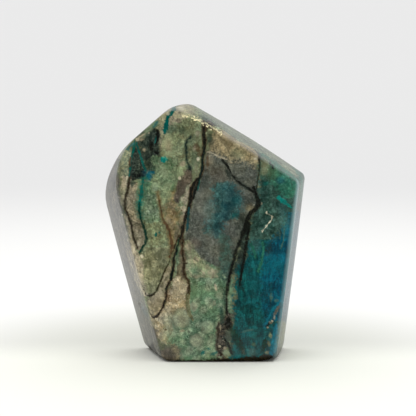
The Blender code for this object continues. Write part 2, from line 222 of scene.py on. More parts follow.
# A vein runs along z or along x. Its core has one colour, and the fringe, a stain beside
# it, mostly another; reach is how far the fringe goes, and depth the share of the deepest
# groove. Each row holds the place along it, the place across it and half its width, and
# it fades out just past its first and last row.
Vein = namedtuple("Vein", "name along core fringe reach depth rows")
VEINS = (
    Vein("left_brown", "z", "bark", "mauve", 0.5, 1.0, (
        (66.5, -26.6, 0.30), (63, -27.0, 0.38), (60, -27.8, 0.34), (57, -28.3, 0.34),
        (55, -27.9, 0.32), (52.5, -27.0, 0.30), (50, -26.2, 0.32), (47, -25.6, 0.30),
        (45, -25.2, 0.28), (43, -24.4, 0.28), (41.3, -23.8, 0.25))),
    Vein("left_blue_tail", "z", "quartz", "rind", 0.4, 0.2, (
        (58.5, -30.6, 0.18), (56, -29.7, 0.22), (54.3, -28.6, 0.25), (53, -27.6, 0.2))),
    Vein("left_teal_v", "z", "teal", "charcoal", 0.3, 0.6, (
        (79.5, -24.7, 0.25), (77, -25.0, 0.50), (75, -25.5, 0.30), (72, -26.1, 0.22),
        (69, -26.4, 0.28), (67, -26.7, 0.22))),
    Vein("right_teal_v", "z", "teal", "quartz_blue", 0.35, 0.4, (
        (79.2, -24.1, 0.20), (76, -23.3, 0.30), (73.5, -22.5, 0.32), (71, -21.8, 0.38),
        (69, -21.0, 0.28))),
    Vein("left_rust", "z", "umber", "mauve", 0.3, 0.5, (
        (73.6, -26.1, 0.18), (72, -26.4, 0.30), (70.5, -26.3, 0.18))),
    Vein("teal_upper", "z", "teal", "sea", 2.2, 0.5, (
        (66.2, -21.6, 0.2), (63, -22.2, 0.4), (60.5, -22.4, 0.7), (58.7, -22.8, 0.5),
        (57, -23.0, 0.68), (55.5, -23.3, 0.32), (54, -23.0, 0.36), (52, -22.6, 0.30))),
    Vein("teal_lower", "z", "ink", "moss", 0.35, 0.9, (
        (57.5, -23.1, 0.2), (55, -23.2, 0.26), (52, -22.6, 0.32), (50, -22.0, 0.32),
        (48, -21.3, 0.36), (46, -20.8, 0.36), (44.5, -20.6, 0.34), (43, -21.2, 0.3),
        (41.7, -22.0, 0.36), (40, -22.8, 0.45), (39.5, -23.0, 0.3))),
    Vein("edge_sea", "x", "quartz_blue_pale", "sea", 0.4, 0, (
        (-27.6, 76.4, 0.1), (-26.4, 77.4, 0.5), (-25.0, 78.6, 0.3), (-24.0, 79.6, -0.6),
        (-19.0, 83.8, -0.6), (-18.0, 84.6, 0.4), (-17.0, 85.5, 0.6), (-16.2, 86.2, -0.2))),
    Vein("left_hairline", "x", "charcoal", "beige", 0.2, 0.2, (
        (-24.6, 50.2, 0.1), (-23.5, 49.9, 0.14), (-22.4, 49.2, 0.12))),
    Vein("centre", "z", "black", "umber", 0.6, 1.0, (
        (86.2, -0.6, 0.2), (84, -0.4, 0.45), (82, -0.3, 0.5), (79, -0.1, 0.55),
        (76, -0.3, 0.55), (73, -0.8, 0.45), (70, -0.9, 0.5), (67.5, -1.4, 0.35),
        (65.5, -2.9, 0.55), (64, -3.9, 0.6), (62, -4.8, 0.5), (60, -5.0, 0.48),
        (58, -5.2, 0.55), (55, -5.9, 0.52), (53, -6.6, 0.45), (51, -7.1, 0.45),
        (49, -7.7, 0.45), (46.5, -8.2, 0.4), (44, -9.0, 0.3), (42, -9.7, 0.24),
        (40, -10.3, 0.28), (38, -10.9, 0.38), (35, -11.2, 0.44), (32, -11.6, 0.4),
        (30, -12.0, 0.38), (28.5, -12.9, 0.3), (27, -13.6, 0.34), (25, -13.7, 0.3),
        (23, -13.8, 0.33), (21, -14.5, 0.34), (19.5, -15.2, 0.32), (18, -16.1, 0.36),
        (16.8, -17.2, 0.34), (16.3, -18.0, 0.26))),
    Vein("centre_hook", "x", "black", "umber", 0.3, 0.6, (
        (-20.0, 18.4, 0.1), (-19.2, 17.3, 0.2), (-18.2, 16.3, 0.26), (-17.2, 16.6, 0.3))),
    Vein("centre_branch", "z", "black", "charcoal", 0.4, 0.8, (
        (67.5, -1.4, 0.35), (65, -2.3, 0.36), (62, -3.2, 0.36), (60, -3.8, 0.28),
        (57.5, -4.8, 0.24))),
    Vein("centre_teal", "z", "teal", "ink", 0.2, 0.3, (
        (77, -0.1, 0.14), (75, -0.3, 0.2), (72, -0.9, 0.2), (69, -1.0, 0.28),
        (67, -1.7, 0.2), (65, -1.9, 0.22), (62, -2.5, 0.18))),
    Vein("centre_teal_low", "z", "quartz_blue", "ink", 0.25, 0.3, (
        (55.5, -5.5, 0.2), (53, -5.8, 0.38), (50, -6.0, 0.36), (47.5, -6.3, 0.24))),
    Vein("centre_ink", "z", "ink", "leaf", 0.3, 0.3, (
        (44.5, -9.2, 0.2), (41.5, -9.8, 0.3), (39, -10.0, 0.16))),
    Vein("centre_foot_teal", "z", "ink", "ink", 0.2, 0.3, (
        (34, -11.4, 0.2), (31.5, -11.8, 0.32), (29.8, -12.1, 0.2))),
    Vein("side_line", "z", "charcoal", "moss", 0.9, 0.7, (
        (81, -5.0, 0.14), (79.5, -6.3, 0.22), (77, -6.6, 0.26), (75, -6.5, 0.2),
        (73, -6.3, 0.22), (71, -5.8, 0.26), (69.6, -5.4, 0.5))),
    Vein("olive_line", "z", "bark", "olive", 0.4, 0.7, (
        (37, -12.3, 0.2), (35, -13.3, 0.26), (32, -14.7, 0.3), (30, -15.5, 0.24),
        (28, -16.2, 0.24), (26, -17.2, 0.3), (25, -18.0, 0.3))),
    Vein("olive_hook", "x", "bark", "rind", 0.3, 0.5, (
        (-21.8, 26.2, 0.14), (-21.0, 24.7, 0.2), (-19.7, 24.1, 0.3), (-18.6, 24.5, 0.36),
        (-17.7, 25.4, 0.24))),
    Vein("brown_line", "z", "bark", "umber", 0.7, 0.7, (
        (44.5, -7.8, 0.22), (41, -7.9, 0.28), (38, -7.6, 0.26), (36, -7.3, 0.38),
        (34, -7.4, 0.34), (32, -7.2, 0.3), (30.5, -6.6, 0.38), (29.3, -5.8, 0.4),
        (27.5, -5.6, 0.34), (25, -5.9, 0.36), (23, -6.2, 0.3))),
    Vein("brown_line_foot", "z", "olive", "ochre", 0.5, 0.3, (
        (24.5, -6.0, 0.3), (22, -6.2, 0.5), (20, -6.0, 0.55), (18, -5.5, 0.45),
        (16.5, -5.0, 0.36), (15.4, -4.2, 0.2))),
    Vein("brown_tick", "x", "bark", "umber", 0.2, 0.4, (
        (-7.6, 35.9, 0.16), (-6.8, 35.8, 0.2), (-6.1, 36.0, 0.12))),
    Vein("ochre_line", "z", "umber", "ochre", 1.3, 0.3, (
        (61.5, -16.6, 0.06), (59, -16.2, 0.12), (57, -15.9, 0.2), (54.5, -15.3, 0.2),
        (52, -14.8, 0.3), (50, -13.8, 0.5), (48, -12.8, 0.5), (46, -12.2, 0.46),
        (43, -11.6, 0.5), (40.5, -11.8, 0.3), (38, -12.4, 0.2))),
    Vein("pale_line", "z", "bark", "umber", 0.3, 0.4, (
        (46, -9.1, 0.14), (44, -9.9, 0.2), (41.5, -10.8, 0.2), (39, -11.7, 0.14))),
    Vein("quartz_top", "x", "black", "charcoal", 0.8, 0.8, (
        (6.0, 72.6, 0.26), (7.0, 71.6, 0.55), (8.0, 70.5, 0.55), (9.0, 68.7, 0.36),
        (10.0, 66.9, 0.3), (11.0, 65.6, 0.3), (12.0, 64.8, 0.32), (14.0, 63.5, 0.38),
        (15.8, 62.5, 0.34), (17.4, 61.4, 0.4))),
    Vein("quartz_right", "z", "black", "charcoal", 0.8, 1.0, (
        (63, 17.3, 0.5), (61.5, 17.8, 0.45), (60, 18.2, 0.5), (58.5, 18.8, 0.7),
        (57, 18.9, 0.8), (55.8, 18.3, 0.85), (54.6, 17.1, 0.95), (53.5, 16.0, 0.85),
        (52, 15.3, 0.8), (50, 14.8, 0.82), (48, 14.1, 0.85), (46.5, 13.4, 0.7),
        (44.5, 12.7, 0.42), (42, 11.7, 0.42), (39.5, 10.8, 0.4), (37, 10.2, 0.45),
        (35, 9.7, 0.45), (32, 9.1, 0.45), (30, 8.6, 0.4), (27.5, 8.1, 0.45),
        (25, 7.8, 0.22), (22, 7.7, 0.18), (18, 7.8, 0.3))),
    Vein("quartz_strand", "z", "black", "charcoal", 0.5, 0.7, (
        (50.5, 15.7, 0.32), (46, 15.2, 0.42), (42, 14.6, 0.46), (38, 14.0, 0.42),
        (34, 13.2, 0.4), (31, 12.8, 0.36), (28, 12.5, 0.26))),
    Vein("upper_right", "z", "bark", "moss", 0.4, 0.6, (
        (76, 18.7, 0.14), (74, 19.2, 0.24), (72, 19.4, 0.22), (69, 19.2, 0.14),
        (66, 18.8, 0.12), (62.5, 18.4, 0.2))),
    Vein("tick", "z", "charcoal", "moss", 0.2, 0.4, (
        (71.6, 23.1, 0.24), (70, 24.1, 0.28))),
    Vein("quartz_lip", "x", "cream", "quartz_pale", 0.3, 0, (
        (1.0, 75.6, 0.16), (3.0, 74.9, 0.16), (5.0, 74.0, 0.2), (8.0, 72.8, 0.2),
        (9.5, 71.8, 0.12))),
    Vein("scratch", "z", "fleck", "moss_pale", 0.2, 0.3, (
        (53.9, 21.9, 0.2), (53.2, 22.9, 0.06), (52.4, 23.8, 0.2), (51.5, 23.6, 0.1),
        (50.6, 23.1, 0.24), (49.7, 22.1, 0.1), (48.8, 21.7, 0.26), (48.0, 20.9, 0.12),
        (47.3, 20.3, 0.14))),
    Vein("pale_right_1", "z", "moss_pale", "moss_pale", 0.2, 0, (
        (48, 21.2, 0.14), (46, 22.3, 0.14), (44.4, 23.1, 0.12))),
    Vein("pale_right_2", "z", "moss_pale", "moss_pale", 0.2, 0, (
        (49, 25.4, 0.12), (46.8, 26.6, 0.16), (44.5, 26.6, 0.12))),
    Vein("pale_right_3", "z", "moss_pale", "teal_soft", 0.4, 0, (
        (54, 28.2, 0.02), (50, 28.1, 0.06), (46, 28.0, 0.12), (43.5, 27.7, 0.2),
        (41.1, 27.1, 0.16))),
    Vein("green_streak_1", "z", "sea", "sea", 0.4, 0, (
        (43.5, 20.5, 0.2), (40, 20.7, 0.3), (37, 20.2, 0.32), (35, 19.7, 0.36),
        (33, 19.0, 0.3))),
    Vein("green_streak_2", "z", "sea", "sea", 0.4, 0, (
        (43, 16.5, 0.16), (41, 17.2, 0.26), (38, 17.9, 0.2))),
    Vein("flecked_left", "z", "bark", "mauve", 0.6, 0.8, (
        (14, 4.9, 0.3), (12.4, 4.6, 0.34), (10, 4.9, 0.3), (7.5, 4.3, 0.24),
        (5, 4.5, 0.34), (2.8, 5.8, 0.4))),
    Vein("flecked_right", "z", "black", "moss", 0.6, 0.8, (
        (9, 6.8, 0.2), (7, 8.2, 0.36), (5, 9.0, 0.4), (3, 9.6, 0.3))),
    Vein("blue_flash", "z", "blue_bright", "blue", 1.0, 0, (
        (21.5, 25.9, 0.2), (19.5, 24.4, 0.42), (17, 23.0, 0.46), (14.5, 21.9, 0.36),
        (13, 21.2, 0.2))),
    Vein("blue_edge", "z", "blue_bright", "blue", 0.8, 0, (
        (13.5, 25.4, 0.3), (9, 24.9, 0.8), (5, 24.5, 0.9), (3, 24, 0.6))),
)


# A patch is a field between two edges, dark with the texture's share of pale, and its
# outline is soft over the edge. Each row holds the place along it and its low and high
# edge, and it closes just past its first and last row.
Patch = namedtuple("Patch", "name along dark pale texture edge rows")
PATCHES = (
    Patch("apex", "z", "olive_pale", "cream", "cloud", 1.71, (
        (96, -16, 0), (91, -16, -3), (88, -17, -5.5), (84, -17.5, -13.4),
        (81, -16.6, -14.8), (76, -16.2, -15.2))),
    Patch("left_block", "z", "lip", "olive_pale", "grain", 0.52, (
        (76, -30, -26), (74, -31.5, -26.0), (70, -32.5, -26.4), (66.5, -31.5, -26.9))),
    Patch("left_cream", "z", "cream", "cream_pale", "cloud", 0.39, (
        (66.4, -29.3, -27.3), (64.5, -29.6, -27.4), (62.5, -29.7, -27.9))),
    Patch("left_strip", "z", "olive_pale", "cream", "streak", 0.39, (
        (62.5, -30.2, -27.4), (59, -30.2, -28.2), (56, -29.6, -28.3))),
    Patch("charcoal_v", "z", "charcoal", "charcoal_pale", "grain", 0.39, (
        (77, -24.8, -24.0), (73, -25.9, -22.6), (70, -26.3, -21.2), (67.5, -26.5, -20.0),
        (66.2, -26.3, -19.6))),
    Patch("charcoal_upper", "z", "charcoal", "charcoal_pale", "crumb", 0.95, (
        (83.6, -20.5, -16.6), (82, -22.7, -15.9), (80, -24.4, -15.9),
        (78, -23.9, -15.9), (76, -23.0, -16.0), (74.3, -22.4, -16.4), (72.5, -21.8, -18.4))),
    Patch("green_upper", "z", "leaf", "leaf_pale", "cloud", 1.52, (
        (74, -18.4, -16.0), (71, -21.0, -9.6), (68, -19.6, -9.8), (65, -20.6, -10.2),
        (62, -21.0, -10.9), (60, -21.4, -12.8))),
    Patch("green_side", "z", "leaf", "mint_pale", "cloud", 1.52, (
        (60, -21.6, -16.8), (57, -22.3, -16.4), (54, -22.5, -16.0), (51, -21.8, -15.2),
        (49, -20.8, -14.8))),
    Patch("grey_green", "z", "olive", "leaf_pale", "cloud", 1.52, (
        (50, -21.0, -14.0), (46, -20.2, -12.6), (43, -20.6, -12.2), (40, -22, -12))),
    Patch("beige_block", "z", "beige", "cream", "cloud", 0.39, (
        (66, -26.3, -24.6), (62, -27.0, -24.0), (58, -28.0, -23.6), (54, -27.6, -23.4),
        (50, -26.1, -22.4), (46, -25.3, -21.2), (43, -24.4, -21.4), (41, -23.6, -22.2))),
    Patch("cream_strip", "z", "cream", "cream_pale", "streak", 0.45, (
        (53.6, -28.4, -27.6), (51, -28.0, -26.8), (48, -27.5, -26.1), (45, -27.0, -25.6),
        (42, -28.0, -24.4), (39, -27.4, -23.4), (36, -26.6, -22.0), (33, -25.8, -21.4),
        (28, -24.6, -20.4), (24, -23.4, -20.4))),
    Patch("ochre_zone", "z", "ochre", "tan_pale", "cloud", 1.52, (
        (61.5, -12.2, -10.8), (58, -13.0, -10.7), (54, -14.2, -9.4), (50, -13.4, -9.8),
        (46, -12.2, -10.8), (42, -11.8, -11.0))),
    Patch("olive_zone", "z", "olive", "olive_pale", "streak", 1.14, (
        (41, -21.8, -12.3), (38, -22.2, -12.2), (35, -21.9, -13.1), (31, -21.6, -15.3),
        (28, -21.4, -16.3), (25.4, -20.8, -18.2))),
    Patch("wedge", "z", "tan", "cream", "streak", 0.52, (
        (34, -13.5, -12.2), (31, -15.0, -12.6), (28, -16.0, -13.8), (25, -18.0, -14.0),
        (23.4, -20.0, -14.1), (20, -20.2, -15.3), (18, -19.8, -16.4))),
    Patch("lens", "z", "mauve", "mauve_pale", "cloud", 0.5, (
        (70.4, -5.2, -4.9), (67, -7.9, -4.6), (64.6, -9.4, -4.9), (62, -10.6, -6.8),
        (59.6, -10.8, -8.4), (57.4, -10.2, -9.6))),
    Patch("pale_ribbon", "z", "cream", "cream_pale", "streak", 0.52, (
        (64, -5.2, -4.9), (62.5, -6.6, -5.0), (60, -7.4, -5.4), (57.5, -7.5, -5.9), (55, -8.2, -6.6),
        (53, -8.6, -7.4))),
    Patch("ribbon_foot", "z", "mauve_pale", "tan", "streak", 0.52, (
        (53, -8.9, -7.4), (50, -9.4, -7.9), (47, -10.2, -8.6), (44, -10.8, -9.6))),
    Patch("strip_foot", "z", "leaf", "mint_pale", "streak", 0.4, (
        (44, -10.1, -9.5), (42, -10.6, -9.4), (38, -10.9, -9.4), (34, -10.9, -9.6),
        (31, -11.2, -10.4))),
    Patch("brown_foot", "z", "mauve", "tan", "streak", 0.8, (
        (44, -9.0, -7.6), (42, -9.2, -7.2), (38, -9.3, -6.8), (34, -9.6, -6.4),
        (31, -11.2, -7.0), (29, -12.0, -7.4))),
    Patch("tan_foot", "z", "tan_pale", "cream_pale", "cloud", 1.33, (
        (31.4, -9.8, -9.0), (28.4, -11.4, -7.0), (26, -12.6, -6.0), (24, -13.6, -6.2), (20, -15.0, -6.2),
        (16, -19.6, -7.0), (12, -18.8, -10.0), (9, -18.0, -12.0), (7, -17.2, -13.6))),
    Patch("quartz_main", "z", "quartz", "quartz_pale", "haze", 1.14, (
        (76, 0.4, 5.0), (74, 0.0, 14), (72, -0.2, 18), (70, -0.4, 19),
        (66, -1.9, 19.0), (62, -3.0, 18.6), (58, -4.6, 18.8), (54, -5.6, 17.0),
        (50, -6.4, 15.0), (46, -7.2, 13.6), (44, -7.4, 12.4), (42, -4.2, 11.8),
        (40, -3.4, 11.0), (38, -1.6, 10.4), (36, 1.0, 10.0), (34, 5.0, 9.6),
        (29, 6.0, 8.8))),
    Patch("tan_upper", "x", "tan", "tan_pale", "haze", 1.9, (
        (1.6, 76.0, 78.0), (4, 75.0, 83), (8, 73.8, 84), (12, 72.8, 82), (16, 71.4, 79.6),
        (20, 70.4, 77))),
    Patch("quartz_blue", "z", "quartz_blue", "quartz_blue_pale", "cloud", 2.28, (
        (65, 5.0, 7.0), (63, 2.8, 10.5), (61, 2.6, 12.5), (58, 2.6, 13.0), (55, 3.6, 12.0),
        (53, 1.6, 11.5), (51, 0.6, 7.0), (48, 0.4, 6.6), (45, 3.6, 7.2))),
    Patch("quartz_green", "z", "charcoal_pale", "moss_pale", "haze", 1.71, (
        (46, 5.2, 7.2), (43, 5.6, 8.8), (40, 6.6, 9.6), (37, 5.2, 9.6), (33, 5.0, 9.0),
        (30, 5.2, 8.2))),
    Patch("mint_foot", "z", "mint", "mint_pale", "orb", 1.14, (
        (37, -2.6, -1.2), (35, -5.6, 3.0), (32, -6.2, 6.0), (28, -5.4, 8.0),
        (24, -5.8, 7.7), (20, -5.6, 7.5), (16, -11.0, 6.0), (12, -11.8, 4.4),
        (8, -12.4, 4.4), (4, -10.0, 4.6), (-3, -9.4, 5.0))),
    Patch("crest", "z", "leaf_pale", "cream", "cloud", 1.14, (
        (43.2, -6.2, -4.8), (41, -6.8, -4.2), (39, -6.7, -3.0), (37, -6.6, -0.8),
        (35, -6.5, 0.8), (33, -6.2, 4.2), (31.2, -5.4, 4.8))),
    Patch("mint_strip", "z", "mint", "mint_pale", "streak", 0.45, (
        (29.8, 8.7, 9.6), (27, 8.3, 9.9), (22, 8.0, 9.6), (18.4, 8.0, 9.8),
        (16.6, 8.2, 9.2))),
    Patch("right_field", "z", "moss", "moss_pale", "cloud", 1.14, (
        (76, 19.4, 22), (72, 19.3, 30), (66, 19.0, 40), (62, 18.6, 40), (58, 18.8, 40),
        (54, 17.4, 40), (50, 15.6, 40), (45, 15.2, 40), (42, 14.8, 40))),
    Patch("sea_corner", "z", "sea", "sea_pale", "cloud", 1.9, (
        (75, 21, 25), (71.5, 22.4, 36), (68, 23.6, 36), (65, 24.0, 36), (62, 26, 36),
        (59.5, 28, 36))),
    Patch("between_strands", "z", "charcoal", "charcoal_pale", "cloud", 0.52, (
        (50, 14.4, 15.8), (46, 13.2, 15.2), (42, 12.0, 14.6), (38, 11.0, 14.0),
        (35, 10.2, 13.4), (33, 10.2, 12.8))),
    Patch("teal_foot", "z", "teal_deep", "teal_soft", "streak", 1.33, (
        (44, 15.4, 23), (38, 14.4, 23), (34, 11, 23), (30, 10.6, 23), (26, 10.4, 23),
        (20, 10.0, 24), (14, 10.0, 27), (8, 9.4, 26), (-3, 8.6, 27))),
    Patch("blue_mass", "z", "blue_deep", "blue", "streak", 2.09, (
        (54, 29.4, 40), (50, 29.0, 40), (47, 27.0, 40), (44, 23.6, 40), (41, 21.8, 40),
        (38, 21.0, 40), (34, 20.4, 40), (30, 20.2, 40), (26, 20.4, 40), (22, 20.6, 40),
        (18, 21.4, 40), (15, 22.4, 40))),
    Patch("flecked_foot", "z", "black", "mauve_pale", "crumb", 0.95, (
        (17.6, 7.2, 9.6), (15, 6.2, 9.8), (12, 4.2, 9.0), (8, 4.2, 8.0), (5, 4.2, 7.4),
        (-3, 4.8, 7.0))),
    Patch("foot_brown", "z", "mauve", "tan", "cloud", 1.33, (
        (6.4, -12.6, -10.2), (4, -14.0, -9.2), (-3, -15.0, -8.6))),
    Patch("foot_mauve", "z", "mauve", "mauve_pale", "streak", 1.33, (
        (12, -21.0, -18.4), (8, -22.0, -16.0), (5, -22.0, -12.4), (-3, -22.0, -10.2))),
    Patch("foot_olive", "z", "charcoal_pale", "olive", "cloud", 0.95, (
        (8.4, -17.2, -16.3), (6.6, -17.2, -14.6), (5, -16.4, -14.2))),
    # Partly painted reflection: the left side facet in grey streaks, in place of the pale room that it
    # mirrors
    Patch("left_rim", "z", "rind", "rind_sheen_pale", "streak", 1.1, (
        (78, -60, -29.4), (74, -60, -31.4), (70, -60, -31.6), (66, -60, -30.6),
        (60, -60, -30.2), (56, -60, -29.6), (53, -60, -28.6), (50, -60, -28.2),
        (45, -60, -27.2), (40, -60, -26.2), (35, -60, -25.4), (30, -60, -24.8),
        (25, -60, -23.4), (20, -60, -21.6), (15, -60, -20.2), (10, -60, -18.8),
        (5, -60, -17.2), (-3, -60, -15.0))),
    Patch("foot_shade", "x", "black", "bark", "grain", 0.35, (
        (-21, -5, 5.4), (-19, -5, 3.0), (-16, -5, 1.2), (-12, -5, 0.9), (-6, -5, 0.9),
        (2, -5, 1.1), (12, -5, 1.5), (18, -5, 2.1), (22, -5, 2.8), (25, -5, 4.0),
        (26.6, -5, 6.0))),
    Patch("upper_rim", "x", "lip", "lip_pale", "streak", 0.39, (
        (-3, 91.4, 120), (1, 88.6, 120), (6, 84.2, 120), (10, 81.0, 120), (15, 78.2, 120),
        (20, 75.4, 120), (25, 72.6, 120), (30, 69.2, 120), (34, 66.8, 120))),
)


